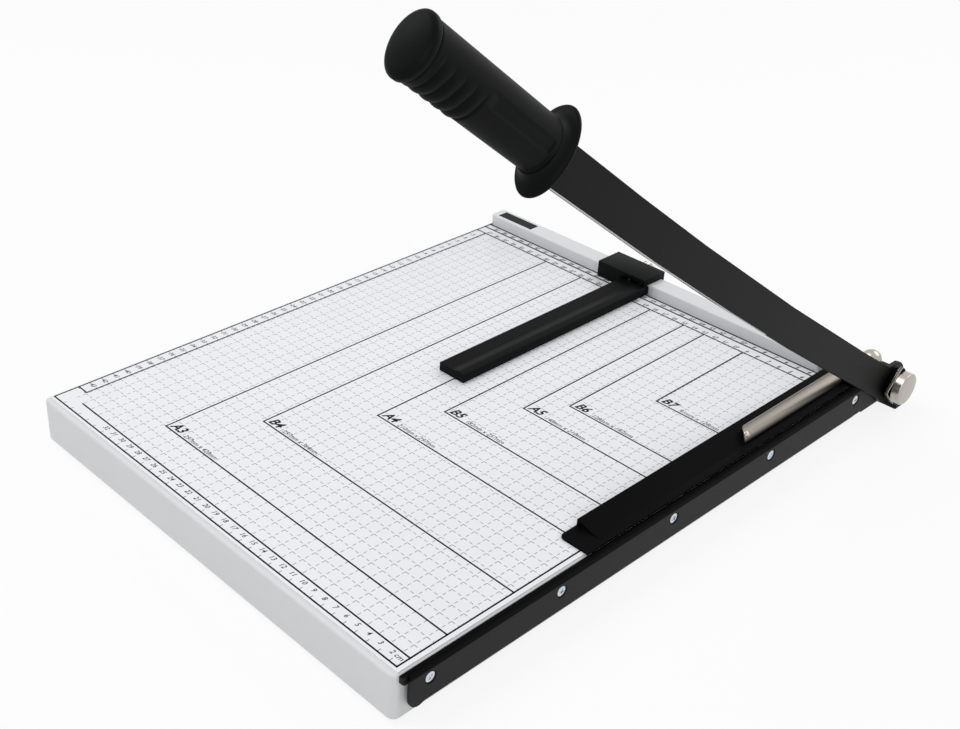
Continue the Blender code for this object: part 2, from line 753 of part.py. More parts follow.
def build_bracket(frame, paint):
    """Angle bracket behind the board, with the shelf and the tongue that carry the paper guard."""
    top = -bracket_top_drop
    bracket = add_piece("hinge_bracket", prism(bracket_leg_outline(), 0, bracket_inner, bracket_outer), frame, paint)
    unite(bracket, block((bracket_inner - bracket_wing, bracket_start, bracket_bottom),
                         (bracket_inner + cut_overrun, bracket_start + bracket_wing_thickness, top)))
    shelf_inner = bracket_outer - shelf_width
    unite(bracket, block((bracket_inner, bracket_start, top - cut_overrun),
                         (bracket_outer, bracket_start + shelf_length, shelf_top)))
    unite(bracket, block((shelf_inner, bracket_start, shelf_bottom),
                         (bracket_inner + cut_overrun, bracket_start + shelf_length, shelf_top)))
    unite(bracket, tongue_mesh())
    place = (pivot_back, -pivot_drop)
    cut(bracket, round_bar(0, place, bolt_radius + bore_gap, bracket_inner - cut_overrun,
                           bracket_outer + cut_overrun, round_steps))
    cut(bracket, round_bar(2, (-stud_side, stud_back), stud_radius + bore_gap,
                           shelf_top - dome_skirt, shelf_top + cut_overrun))
    cut(bracket, round_bar(0, (guard_axis_back, guard_axis_height), guard_pin_radius + bore_gap,
                           tongue_inner() - cut_overrun, tongue_inner() + tongue_width + cut_overrun))
    for across in wing_screw_places():
        cut(bracket, round_bar(1, (across, wing_screw_z()), wing_screw_radius + bore_gap,
                               bracket_start - cut_overrun,
                               bracket_start + bracket_wing_thickness + cut_overrun))


def tongue_inner():
    return bracket_inner - tongue_width


def tongue_mesh():
    """Tongue that reaches forward over the board to the guard's hinge pin."""
    nose = tongue_top - guard_axis_height
    outline = arc((guard_axis_back, guard_axis_height), nose, 90.0, 180.0, corner_steps)
    outline += [(guard_axis_back - nose, guard_floor), (bracket_start + cut_overrun, guard_floor),
                (bracket_start + cut_overrun, shelf_top), (guard_axis_back + nose, tongue_top)]
    return prism(outline, 0, tongue_inner(), tongue_inner() + tongue_width)


def build_bracket_fasteners(frame, zinc, nickel):
    head_low = bracket_start + bracket_wing_thickness + seat_gap
    tip = board_back - pan_wall - wing_screw_bite
    for name, across in zip(("bracket_screw_left", "bracket_screw_right"), wing_screw_places()):
        profile = [(tip, 0.0), (tip, wing_screw_radius), (head_low, wing_screw_radius),
                   (head_low, wing_screw_head_radius), (head_low + wing_screw_head_height, wing_screw_radius),
                   (head_low + wing_screw_head_height, 0.0)]
        add_piece(name, turned(1, (across, wing_screw_z()), profile), frame, zinc, 40.0 * degree)
    dome_low = shelf_top + seat_gap
    profile = [(shelf_top - dome_skirt + seat_gap, 0.0), (shelf_top - dome_skirt + seat_gap, stud_radius),
               (dome_low, stud_radius), (dome_low, dome_radius), (dome_low + dome_skirt, dome_radius)]
    rise = dome_height - dome_skirt
    for step in range(1, corner_steps + 1):
        angle = 90.0 * degree * step / corner_steps
        radius = dome_radius * math.cos(angle) if step < corner_steps else 0.0
        profile.append((dome_low + dome_skirt + rise * math.sin(angle), radius))
    add_piece("dome_nut", turned(2, (-stud_side, stud_back), profile, round_steps), frame, nickel, 40.0 * degree)


def build_heel(frame, paint):
    top = bracket_bottom - seat_gap
    add_piece("heel_plate", block((bracket_inner, heel_start, pan_bottom),
                                  (heel_reach, heel_start + heel_length, top)), frame, paint)


def arm_middle(along):
    """Height of the arm's centre line over the line from the axis to the hand guard."""
    share = along / arm_length
    straight = arm_root_offset + (arm_tip_offset - arm_root_offset) * share
    return straight - 4 * arm_bow * share * (1 - share)


def tang_middle(along):
    """Height of the tang's middle, which lies on the grip's tilted axis."""
    return grip_offset + (along - arm_length) * math.tan(grip_tilt)


def grip_pin_places():
    """Grip pins seen from the side, as (Y, Z) in the arm's frame."""
    return [(-arm_length - along * math.cos(grip_tilt), grip_offset + along * math.sin(grip_tilt))
            for along in grip_pin_stations]


def arm_outline():
    """The blade arm seen from the side, as (Y, Z) from its axis, with the tang at its far end."""
    half = arm_width / 2
    wide_end = arm_length - hand_guard_collar - arm_width * math.tan(grip_tilt)
    stations = [arm_root_radius + (wide_end - arm_root_radius) * step / arm_steps for step in range(arm_steps + 1)]
    lower = [(-along, arm_middle(along) - half) for along in stations]
    upper = [(-along, arm_middle(along) + half) for along in reversed(stations)]
    tang_end = arm_length + tang_length
    tang = [(-along, tang_middle(along) + side) for along, side in
            ((wide_end, -tang_width / 2), (tang_end, -tang_width / 2), (tang_end, tang_width / 2),
             (wide_end, tang_width / 2))]
    root = arc((0.0, 0.0), arm_root_radius, 110.0, -110.0, 3 * corner_steps)
    return root + lower + tang + upper


def build_blade_arm(frame, paint, bronze):
    low, high = arm_inner_face, arm_outer_face
    arm = add_piece("blade_arm", prism(arm_outline(), 0, low, high), frame, paint)
    cut(arm, round_bar(0, (0.0, 0.0), bolt_radius + bush_wall + 2 * bore_gap, low - cut_overrun,
                       high + cut_overrun, round_steps))
    cut(arm, edge_cutter(high))
    for place in grip_pin_places():
        cut(arm, round_bar(0, place, grip_pin_radius + bore_gap, low - cut_overrun, high + cut_overrun))
    bush = add_piece("pivot_bush", round_bar(0, (0.0, 0.0), bolt_radius + bush_wall + bore_gap, low, high,
                                             round_steps), frame, bronze, 40.0 * degree)
    cut(bush, round_bar(0, (0.0, 0.0), bolt_radius + bore_gap, low - cut_overrun, high + cut_overrun, round_steps))


def edge_cutter(high):
    """Wedge along the lower edge that grinds the outer face down to the cutting edge."""
    mesh_data = bmesh.new()
    half = arm_width / 2
    depth = arm_thickness - edge_land
    slope = depth / edge_bevel_width
    rings = []
    for step in range(arm_steps + 1):
        along = edge_start + (arm_length + cut_overrun - edge_start) * step / arm_steps
        edge = arm_middle(min(along, arm_length)) - half
        corners = ((high + cut_overrun, edge + edge_bevel_width + cut_overrun / slope),
                   (high - depth - cut_overrun, edge - cut_overrun / slope),
                   (high + cut_overrun, edge - cut_overrun / slope))
        rings.append([mesh_data.verts.new((across, -along, height)) for across, height in corners])
    bridge_rings(mesh_data, rings)
    return mesh_data


def oval(half_width, upper, lower, along, count=grip_ring_points):
    """One ring of a grip section, round the grip's axis."""
    ring = []
    for step in range(count):
        angle = 2 * math.pi * step / count
        height = upper if math.sin(angle) >= 0.0 else lower
        ring.append((half_width * math.cos(angle), -along, height * math.sin(angle)))
    return ring


def loft(sections):
    mesh_data = bmesh.new()
    bridge_rings(mesh_data, [[mesh_data.verts.new(point) for point in ring] for ring in sections])
    return mesh_data


def grip_sections():
    """Grip sections from the hand guard out to the cap, with finger ridges under the far end."""
    end = grip_start + grip_length
    stations = [(grip_start, 0.0)]
    for ridge in range(ridge_count):
        notch = end - ridge_end_inset - (ridge_count - ridge) * ridge_pitch
        for step in range(ridge_steps):
            share = step / ridge_steps
            stations.append((notch + ridge_pitch * share, math.sin(math.pi * share)))
    stations += [(end - ridge_end_inset, 0.0), (end, 0.0)]
    return [oval(grip_half_width, grip_half_height, grip_half_height - ridge_depth + ridge_depth * swell, along)
            for along, swell in stations]


def tang_cutter():
    """Slot for the tang, in the grip's frame."""
    half = arm_thickness / 2 + bore_gap
    low = -tang_width / 2 - bore_gap
    return block((-half, -tang_length - 2 * bore_gap, low),
                 (half, hand_guard_collar + cut_overrun, low + tang_width + 2 * bore_gap))


def build_grip(frame, plastic, zinc):
    grip = add_piece("grip", loft(grip_sections()), frame, plastic, 35.0 * degree)
    cut(grip, tang_cutter())
    end = grip_start + grip_length
    plug = oval(grip_half_width * cap_plug_share + bore_gap, grip_half_height * cap_plug_share + bore_gap,
                grip_half_height * cap_plug_share + bore_gap, end - cap_plug_length - seat_gap)
    plug_end = [(across, -end - cut_overrun, height) for across, _, height in plug]
    cut(grip, loft([plug, plug_end]))
    pin_reach = grip_half_width - grip_pin_inset
    for name, along in zip(("grip_pin_front", "grip_pin_rear"), grip_pin_stations):
        cut(grip, round_bar(0, (-along, 0.0), grip_pin_radius + bore_gap, -pin_reach - seat_gap, pin_reach + seat_gap))
        add_piece(name, round_bar(0, (-along, 0.0), grip_pin_radius, -pin_reach, pin_reach), frame, zinc, 40.0 * degree)


def build_grip_cap(frame, plastic):
    low = grip_start + grip_length + seat_gap
    share = cap_plug_share
    sections = [oval(grip_half_width * share, grip_half_height * share, grip_half_height * share,
                     low - cap_plug_length),
                oval(grip_half_width * share, grip_half_height * share, grip_half_height * share, low),
                oval(grip_half_width, grip_half_height, grip_half_height, low)]
    rim = low + grip_cap_rim
    sections.append(oval(cap_half_width, cap_half_height, cap_half_height, low + grip_cap_rim / 3))
    sections.append(oval(cap_half_width, cap_half_height, cap_half_height, rim))
    for step in range(1, corner_steps):
        angle = 90.0 * degree * step / corner_steps
        scale = math.cos(angle)
        sections.append(oval(cap_half_width * scale, cap_half_height * scale, cap_half_height * scale,
                             rim + grip_cap_dome * math.sin(angle)))
    add_piece("grip_cap", loft(sections), frame, plastic, 35.0 * degree)


def build_hand_guard(frame, plastic):
    """Oval flange with a waist that runs into the grip, and a short collar on the arm's side."""
    rim = hand_guard_rim / 2
    end = grip_start - seat_gap
    waist = (end - rim) / 2
    collar_width = grip_half_width
    sections = [oval(collar_width, grip_half_height, grip_half_height, -hand_guard_collar + seat_gap),
                oval(hand_guard_half_width - rim, hand_guard_half_height - rim, hand_guard_half_height - rim, -rim),
                oval(hand_guard_half_width, hand_guard_half_height, hand_guard_half_height, 0.0),
                oval(hand_guard_half_width - rim / 2, hand_guard_half_height - rim, hand_guard_half_height - rim, rim),
                oval(grip_half_width + rim, grip_half_height + rim, grip_half_height + rim, rim + waist),
                oval(grip_half_width, grip_half_height, grip_half_height - ridge_depth, end)]
    guard = add_piece("hand_guard", loft(sections), frame, plastic, 35.0 * degree)
    cut(guard, tang_cutter())


def guard_surface(across):
    """Top of the guard's hollow curve at a distance from the cut line, above the guard's floor."""
    share = (across - guard_right) / (guard_left - guard_wall - guard_right)
    share = min(max(share, 0.0), 1.0)
    return guard_flange + (guard_height - guard_flange) * share ** 2.2


def guard_section():
    outline = [(-guard_left, guard_floor), (-guard_right, guard_floor)]
    span = guard_left - guard_wall - guard_right
    for step in range(guard_curve_steps + 1):
        across = guard_right + span * step / guard_curve_steps
        outline.append((-across, guard_floor + guard_surface(across)))
    outline.append((-guard_left, guard_floor + guard_height))
    return outline


def build_paper_guard(frame, paint):
    shift = guard_axis
    section = [(across, height - shift.z) for across, height in guard_section()]
    low, high = -guard_wall_front - shift.y, guard_back - shift.y
    guard = add_piece("paper_guard", prism(section, 1, low, high), frame, paint)
    plate_back = low + guard_nose_drop
    outline = [(-guard_right, -guard_front - shift.y), (-guard_right, plate_back), (-guard_left, plate_back)]
    outline += arc((-guard_left + guard_corner_radius, -guard_front - shift.y + guard_corner_radius),
                   guard_corner_radius, 180.0, 270.0, corner_steps)
    floor = guard_floor - shift.z
    unite(guard, prism(outline, 2, floor, floor + guard_flange))
    slot_low = tongue_inner() - guard_slot_gap
    slot_high = tongue_inner() + tongue_width + guard_slot_gap
    half = knuckle_length / 2
    for low_x, high_x in ((-guard_pin_left, slot_low), (slot_high, slot_high + knuckle_ear)):
        unite(guard, block((low_x, -half, floor), (high_x, half, knuckle_top - shift.z)))
    reach = tongue_top - guard_axis_height + guard_slot_gap
    cut(guard, block((slot_low, -reach, floor - cut_overrun), (slot_high, high + cut_overrun, guard_height + cut_overrun)))
    cut(guard, round_bar(0, (0.0, 0.0), guard_pin_radius + bore_gap, -guard_pin_left - cut_overrun,
                         cut_overrun))
    cut(guard, round_bar(2, (-rivet_side, -rivet_front - shift.y), rivet_radius + bore_gap,
                         floor - cut_overrun, guard_height))


def leaf_middle(step):
    """Points across the leaf: from its lower right edge up and over to the lip at its left."""
    angle = 90.0 * degree * step / leaf_steps
    low = guard_floor + guard_surface(leaf_right) + seat_gap + leaf_thickness / 2
    across = leaf_right + (leaf_left - leaf_right) * (1 - math.cos(angle))
    return Vector((-across, low + (leaf_top - low) * math.sin(angle)))


def leaf_section():
    points = [leaf_middle(step) for step in range(leaf_steps + 1)]
    points.append(points[-1] + Vector((-leaf_lip, -leaf_lip / 2)))
    outer, inner = [], []
    for index, point in enumerate(points):
        before, after = points[max(index - 1, 0)], points[min(index + 1, len(points) - 1)]
        along = (after - before).normalized()
        normal = Vector((along.y, -along.x)) * leaf_thickness / 2
        outer.append(point + normal)
        inner.append(point - normal)
    return outer + inner[::-1]


def leaf_height_at(across):
    """Height of the leaf's middle line at a distance from the cut line."""
    share = 1 - (across - leaf_right) / (leaf_left - leaf_right)
    low = guard_floor + guard_surface(leaf_right) + seat_gap + leaf_thickness / 2
    return low + (leaf_top - low) * math.sqrt(1 - share ** 2)


def build_leaf(frame, steel, nickel):
    shift = guard_axis
    section = [(point.x, point.y - shift.z) for point in leaf_section()]
    leaf = add_piece("leaf_spring", prism(section, 1, -leaf_front - shift.y, -leaf_back - shift.y),
                     frame, steel, 35.0 * degree)
    left, end = -leaf_left - leaf_lip, -leaf_front - shift.y
    cut(leaf, prism([(left - cut_overrun, end - cut_overrun), (-leaf_right, end - cut_overrun), (-leaf_right, end),
                     (left - cut_overrun, end + leaf_end_slant)], 2, -leaf_top, leaf_top))
    floor = guard_floor - shift.z
    top = leaf_height_at(rivet_side + rivet_head_radius) + leaf_thickness / 2 + seat_gap - shift.z
    place = (-rivet_side, -rivet_front - shift.y)
    cut(leaf, round_bar(2, place, rivet_radius + bore_gap, floor, top + cut_overrun))
    profile = [(floor, 0.0), (floor, rivet_radius), (top, rivet_radius), (top, rivet_head_radius),
               (top + rivet_head_height, rivet_radius), (top + rivet_head_height, 0.0)]
    add_piece("leaf_rivet", turned(2, place, profile), frame, nickel, 40.0 * degree)


def build_guard_pin(frame, nickel):
    add_piece("guard_pin", round_bar(0, (0.0, 0.0), guard_pin_radius, -guard_pin_left, -guard_pin_right),
              frame, nickel, 40.0 * degree)


def gauge_screw_sides():
    return (gauge_right + gauge_screw_inset, gauge_right + gauge_arm_width - gauge_screw_inset)


def build_gauge_head(frame, plastic):
    """Block that straddles the fence: a slab on top, a lip in front and a skirt behind."""
    left = -gauge_right - gauge_head_length
    slab_low = gauge_head_top - gauge_slab
    head = add_piece("gauge_head", block((left, -gauge_head_front, slab_low),
                                         (-gauge_right, gauge_head_back, gauge_head_top)), frame, plastic)
    lip_right = -gauge_right - gauge_arm_width - seat_gap
    unite(head, block((left, -gauge_head_front, gauge_ride), (lip_right, fence_face - seat_gap, slab_low + seat_gap)))
    unite(head, block((left, fence_face + fence_depth + seat_gap, gauge_ride),
                      (-gauge_right, gauge_head_back, slab_low + seat_gap)))
    arch_left = -gauge_right - gauge_arm_width + gauge_arch_inset
    cut(head, block((arch_left, -gauge_head_front - cut_overrun, slab_low - cut_overrun),
                    (-gauge_right - gauge_arch_inset, -gauge_head_front + gauge_arch_depth, slab_low + gauge_arch_height)))
    cut(head, round_bar(1, (-thumb_side, thumb_height), thumb_shank_radius + bore_gap,
                        fence_face + fence_depth, gauge_head_back + cut_overrun))
    for side in gauge_screw_sides():
        cut(head, round_bar(2, (-side, gauge_screw_back), gauge_screw_radius + bore_gap,
                            slab_low - cut_overrun, slab_low + gauge_slab / 2 + seat_gap))
    soften(head, gauge_edge / 2)


def build_gauge_arm(frame, plastic, zinc):
    left = -gauge_right - gauge_arm_width
    slab_low = gauge_head_top - gauge_slab
    top = min(gauge_arm_top, slab_low - seat_gap)
    arm = add_piece("gauge_arm", block((left, -gauge_arm_front, gauge_ride),
                                       (-gauge_right, fence_face - seat_gap, top)), frame, plastic)
    tip = slab_low + gauge_slab / 2
    head_low = gauge_ride + seat_gap
    for name, side in zip(("gauge_screw_right", "gauge_screw_left"), gauge_screw_sides()):
        place = (-side, gauge_screw_back)
        hole = [(gauge_ride - cut_overrun, 0.0), (gauge_ride - cut_overrun, gauge_screw_head_radius + bore_gap),
                (head_low + gauge_screw_head_height + seat_gap, gauge_screw_head_radius + bore_gap),
                (head_low + gauge_screw_head_height + seat_gap, gauge_screw_radius + bore_gap),
                (top + cut_overrun, gauge_screw_radius + bore_gap), (top + cut_overrun, 0.0)]
        cut(arm, turned(2, place, hole))
        profile = [(head_low, 0.0), (head_low, gauge_screw_head_radius),
                   (head_low + gauge_screw_head_height, gauge_screw_head_radius),
                   (head_low + gauge_screw_head_height, gauge_screw_radius), (tip, gauge_screw_radius), (tip, 0.0)]
        add_piece(name, turned(2, place, profile), frame, zinc, 40.0 * degree)
    soften(arm, gauge_edge / 2)


def build_thumbscrew(frame, nickel):
    """Fluted knob on a shank that presses on the fence's back."""
    low = gauge_head_back + seat_gap
    outline = []
    for step in range(2 * thumb_flutes):
        radius = thumb_radius - (thumb_flute_depth if step % 2 else 0.0)
        angle = math.pi * step / thumb_flutes
        outline.append((radius * math.cos(angle), radius * math.sin(angle)))
    screw = add_piece("thumbscrew", prism(outline, 1, low, low + thumb_thickness), frame, nickel)
    tip = fence_face + fence_depth + seat_gap
    unite(screw, round_bar(1, (0.0, 0.0), thumb_shank_radius, tip, low + cut_overrun))


def build():
    clear_scene()
    pale_paint = make_material("pale grey powder coat", (0.72, 0.73, 0.74), 0.45)
    black_paint = make_material("black powder coat", (0.035, 0.035, 0.036), 0.5)
    black_plastic = make_material("black moulded plastic", (0.02, 0.021, 0.022), 0.4)
    vinyl = make_material("white printed vinyl", (0.83, 0.84, 0.86), 0.4)
    zinc = make_material("bright zinc plate", (0.75, 0.77, 0.8), 0.3, 1.0)
    nickel = make_material("satin nickel plate", (0.66, 0.63, 0.58), 0.3, 1.0)
    spring_steel = make_material("spring steel", (0.6, 0.58, 0.55), 0.35, 1.0)
    mild_steel = make_material("zinc coated mild steel", (0.55, 0.56, 0.57), 0.4, 1.0)
    bronze = make_material("sintered bronze", (0.45, 0.3, 0.15), 0.45, 1.0)
    rubber = make_material("black rubber", (0.03, 0.03, 0.03), 0.8)

    base = make_frame("base_frame", None, (0.0, 0.0, 0.0))
    hinge = make_frame("blade_hinge_axis", base, pivot_point, -arm_raise)
    grip_frame = make_frame("grip_axis", hinge, grip_origin, -grip_tilt)
    guard_hinge = make_frame("guard_hinge_axis", base, guard_axis)
    gauge = make_frame("gauge_runner", base, (0.0, 0.0, 0.0))
    thumb = make_frame("thumbscrew_axis", gauge, thumb_axis)

    build_pan(base, pale_paint)
    build_return_frame(base, pale_paint)
    build_sheet(base, vinyl)
    build_ribs(base, mild_steel)
    build_feet(base, rubber)
    build_fence(base, pale_paint, zinc)
    build_cutting_bar(base, black_paint)
    build_lower_blade(base, black_paint, mild_steel)
    build_bar_screws(base, zinc)
    build_tapped_strip(base, mild_steel)
    build_pivot(base, nickel, spring_steel, black_paint)
    build_bracket(base, black_paint)
    build_bracket_fasteners(base, zinc, nickel)
    build_heel(base, black_paint)
    build_blade_arm(hinge, black_paint, bronze)
    build_hand_guard(grip_frame, black_plastic)
    build_grip(grip_frame, black_plastic, zinc)
    build_grip_cap(grip_frame, black_plastic)
    build_paper_guard(guard_hinge, black_paint)
    build_leaf(guard_hinge, spring_steel, nickel)
    build_guard_pin(guard_hinge, nickel)
    build_gauge_head(gauge, black_plastic)
    build_gauge_arm(gauge, black_plastic, zinc)
    build_thumbscrew(thumb, nickel)

    # The origin of the finished part is the middle of its footprint, on the table
    base.location = (-(reach_low.x + reach_high.x) / 2, -(reach_low.y + reach_high.y) / 2, -reach_low.z)
    bpy.context.view_layer.update()


build()
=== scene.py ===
# Guillotine paper cutter: finishes and fine shapes around the fixed frame
import json
import math

import bpy
from mathutils import Matrix, Vector


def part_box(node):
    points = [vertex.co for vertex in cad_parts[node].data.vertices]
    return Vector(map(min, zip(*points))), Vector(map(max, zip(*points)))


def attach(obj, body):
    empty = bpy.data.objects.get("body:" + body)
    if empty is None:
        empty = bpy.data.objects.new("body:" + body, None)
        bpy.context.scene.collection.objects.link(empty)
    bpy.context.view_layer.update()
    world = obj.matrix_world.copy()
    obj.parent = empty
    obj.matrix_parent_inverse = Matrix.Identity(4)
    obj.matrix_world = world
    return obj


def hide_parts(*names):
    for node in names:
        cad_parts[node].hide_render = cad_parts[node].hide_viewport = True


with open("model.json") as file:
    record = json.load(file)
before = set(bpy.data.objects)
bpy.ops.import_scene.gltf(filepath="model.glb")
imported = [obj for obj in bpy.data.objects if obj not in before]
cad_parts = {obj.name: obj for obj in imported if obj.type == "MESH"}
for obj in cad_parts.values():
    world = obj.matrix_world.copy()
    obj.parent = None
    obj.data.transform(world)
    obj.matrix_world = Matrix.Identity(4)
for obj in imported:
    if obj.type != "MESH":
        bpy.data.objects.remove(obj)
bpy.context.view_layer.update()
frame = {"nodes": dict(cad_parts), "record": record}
nodes = frame["nodes"]

mm = 0.001
millimetresPerMetre = 1000.0

# The cut line (X), the zero of the printed sizes (Y) and the paper surface (Z), read from the frame
barToCutLine = 2.7 * mm
fenceToZero = 1.5 * mm
barLow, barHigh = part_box("cutting_bar")
fenceLow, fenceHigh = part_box("fence")
sheetLow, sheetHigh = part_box("printed_sheet")
datum = Vector((barHigh.x + barToCutLine, fenceLow.y - fenceToZero, sheetHigh.z))
faceTolerance = 0.1 * mm

photoWidth = 960
photoHeight = 729

jointPlaces = {joint["name"]: Vector(joint["pos_m"]) for joint in frame["record"]["behaviour"]["joints"]}
pivotPlace = jointPlaces["blade_swing"]
armRaise = math.radians(34.9)
gripTilt = math.radians(2.7)
gripFromPivot = Vector((-0.8, -527.0, 1.5)) * mm
pivotOnCutLine = Matrix.Translation((datum.x, pivotPlace.y, pivotPlace.z))
acrossTurn = Matrix.Rotation(math.pi / 2, 4, "Z")  # lays a turned piece's axis across the board
uprightTurn = Matrix.Rotation(-math.pi / 2, 4, "X")  # stands it up
armPlace = pivotOnCutLine @ Matrix.Rotation(-armRaise, 4, "X")
gripPlace = armPlace @ Matrix.Translation(gripFromPivot) @ Matrix.Rotation(-gripTilt, 4, "X")
pivotAxisPlace = pivotOnCutLine @ acrossTurn


# Small helpers

def clearSelection():
    if bpy.context.mode != "OBJECT":
        bpy.ops.object.mode_set(mode="OBJECT")
    bpy.ops.object.select_all(action="DESELECT")


def makeActive(piece):
    clearSelection()
    piece.select_set(True)
    bpy.context.view_layer.objects.active = piece


def settle(name):
    piece = bpy.context.active_object
    piece.name = name
    bpy.ops.object.transform_apply(location=True, rotation=True, scale=True)
    return piece


def addBlock(name, low, high):
    clearSelection()
    low, high = Vector(low), Vector(high)
    bpy.ops.mesh.primitive_cube_add(size=1, location=(low + high) / 2, scale=high - low)
    return settle(name)


def fromDatum(x, y, z):  # millimetres from the datum to a place in the frame
    return datum + Vector((x, y, z)) * mm


def boxFromDatum(node):  # a node's corners in millimetres from the datum
    low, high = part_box(node)
    return (low - datum) / mm, (high - datum) / mm


def joinPieces(pieces, name):
    clearSelection()
    for piece in pieces:
        piece.select_set(True)
    bpy.context.view_layer.objects.active = pieces[0]
    bpy.ops.object.join()
    return settle(name)


def turnNormalsOut():  # and leaves edit mode
    bpy.ops.mesh.select_all(action="SELECT")
    bpy.ops.mesh.normals_make_consistent(inside=False)
    bpy.ops.object.mode_set(mode="OBJECT")


def bendGrid(name, columns, rows, rule, place):
    # A flat grid bent into a closed shape: rule turns the shares across and along into a point in millimetres
    clearSelection()
    bpy.ops.mesh.primitive_grid_add(x_subdivisions=columns, y_subdivisions=rows, size=1)
    piece = bpy.context.active_object
    for vertex in piece.data.vertices:
        vertex.co = Vector(rule(vertex.co.x + 0.5, vertex.co.y + 0.5)) * mm
    bpy.ops.object.mode_set(mode="EDIT")
    bpy.ops.mesh.select_all(action="SELECT")
    bpy.ops.mesh.remove_doubles(threshold=0.003 * mm)
    turnNormalsOut()
    piece.matrix_world = place
    return settle(name)


def isClosingRow(along):  # the first and the last row of a bent grid close its ends
    return along < 0.003 or along > 0.997


def wallShare(along):  # the share along a bent grid's side wall, between its closing rows
    return min(max((along - 0.01) / 0.98, 0.0), 1.0)


def addTurned(name, stations, segments, place):
    # Oval rings along the local -Y axis, as (along, half width, half height) in millimetres
    def rule(around, along):
        at, halfWidth, halfHeight = stations[round(along * (len(stations) - 1))]
        angle = 2 * math.pi * around
        return halfWidth * math.cos(angle), -at, halfHeight * math.sin(angle)
    return bendGrid(name, segments, len(stations) - 1, rule, place)


def roundStations(profile):  # (along, radius) pairs as round rings
    return [(along, radius, radius) for along, radius in profile]


def arcProfile(alongMiddle, radiusMiddle, reach, start, end, steps):  # a rounded corner in a turned profile
    angles = [math.radians(start + (end - start) * step / steps) for step in range(steps + 1)]
    return [(alongMiddle + reach * math.sin(angle), radiusMiddle + reach * math.cos(angle))
            for angle in angles]


def addPlate(name, outline, axis, low, high):
    # An outline in the two axes other than axis, in millimetres from the datum, extruded from low to high
    clearSelection()
    bpy.ops.mesh.primitive_circle_add(vertices=len(outline), fill_type="NGON")
    piece = bpy.context.active_object
    for vertex, pair in zip(piece.data.vertices, outline):
        place = list(pair)
        place.insert(axis, low)
        vertex.co = fromDatum(*place)
    step = [0.0, 0.0, 0.0]
    step[axis] = (high - low) * mm
    bpy.ops.object.mode_set(mode="EDIT")
    bpy.ops.mesh.select_all(action="SELECT")
    bpy.ops.mesh.extrude_region_move(TRANSFORM_OT_translate={"value": step})
    turnNormalsOut()
    return settle(name)


def smoothStep(value):
    value = min(max(value, 0.0), 1.0)
    return value * value * (3 - 2 * value)


def selectParts(piece, kind, test):
    makeActive(piece)
    bpy.ops.object.mode_set(mode="EDIT")
    bpy.ops.mesh.select_mode(type=kind)
    bpy.ops.mesh.select_all(action="DESELECT")
    bpy.ops.object.mode_set(mode="OBJECT")
    points = [vertex.co for vertex in piece.data.vertices]
    if kind == "FACE":
        for face in piece.data.polygons:
            face.select = test(face.center, face.normal)
    else:
        for edge in piece.data.edges:
            start, end = points[edge.vertices[0]], points[edge.vertices[1]]
            edge.select = test((start + end) / 2, (end - start).normalized())
    bpy.ops.object.mode_set(mode="EDIT")


def roundEdges(piece, test, width, segments):
    selectParts(piece, "EDGE", test)
    bpy.ops.mesh.bevel(offset=width, segments=segments, profile=0.5, affect="EDGES")
    bpy.ops.object.mode_set(mode="OBJECT")


def useModifier(piece, kind, **settings):
    makeActive(piece)
    modifier = piece.modifiers.new(kind.title(), kind)
    for key, value in settings.items():
        setattr(modifier, key, value)
    bpy.ops.object.modifier_apply(modifier=modifier.name)


def softenEdges(piece, width, segments=2, angle=35):  # flat faces keep flat shading beside the rounded edges
    makeActive(piece)
    bpy.ops.object.shade_smooth_by_angle(angle=math.radians(angle))
    useModifier(piece, "BEVEL", width=width, segments=segments, limit_method="ANGLE",
                angle_limit=math.radians(angle), harden_normals=True)


def copyOfNode(node, name):  # a merged copy of a CAD node's mesh, free to be refined
    piece = bpy.data.objects.new(name, nodes[node].data.copy())
    bpy.context.collection.objects.link(piece)
    makeActive(piece)
    bpy.ops.mesh.customdata_custom_splitnormals_clear()
    bpy.ops.object.mode_set(mode="EDIT")
    bpy.ops.mesh.select_all(action="SELECT")
    bpy.ops.mesh.remove_doubles(threshold=0.01 * mm)
    bpy.ops.mesh.dissolve_limited(angle_limit=math.radians(0.6))
    bpy.ops.object.mode_set(mode="OBJECT")
    return piece


def finishPiece(piece, material, body, replaced=(), angle=35):
    makeActive(piece)
    piece.data.materials.clear()
    piece.data.materials.append(material)
    if not piece.data.has_custom_normals:
        bpy.ops.object.shade_smooth_by_angle(angle=math.radians(angle))
    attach(piece, body)
    if replaced:
        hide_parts(*replaced)
    clearSelection()


def finishNode(piece, material, node, angle=35):  # a piece in the place of one node
    finishPiece(piece, material, nodeBodies[node], [node], angle)


def finishTurned(name, profile, segments, place, material, node, angle=40):
    finishNode(addTurned(name, roundStations(profile), segments, place), material, node, angle)


# Materials

def linearColour(hexCode):
    channels = [int(hexCode[start:start + 2], 16) / 255 for start in (1, 3, 5)]
    return [c / 12.92 if c <= 0.04045 else ((c + 0.055) / 1.055) ** 2.4 for c in channels] + [1.0]


def addNode(tree, kind, settings=None, inputs=None):  # inputs are sockets, hex colours or numbers
    node = tree.nodes.new(kind)
    for key, value in (settings or {}).items():
        setattr(node, key, value)
    for key, value in (inputs or {}).items():
        if isinstance(value, bpy.types.NodeSocket):
            tree.links.new(value, node.inputs[key])
        else:
            node.inputs[key].default_value = linearColour(value) if isinstance(value, str) else value
    return node


def calculate(tree, operation, first, second):
    return addNode(tree, "ShaderNodeMath", {"operation": operation}, {0: first, 1: second}).outputs[0]


def mixColours(tree, factor, first, second):
    return addNode(tree, "ShaderNodeMix", {"data_type": "RGBA"}, {
        "Factor": factor, "A": first, "B": second}).outputs[2]


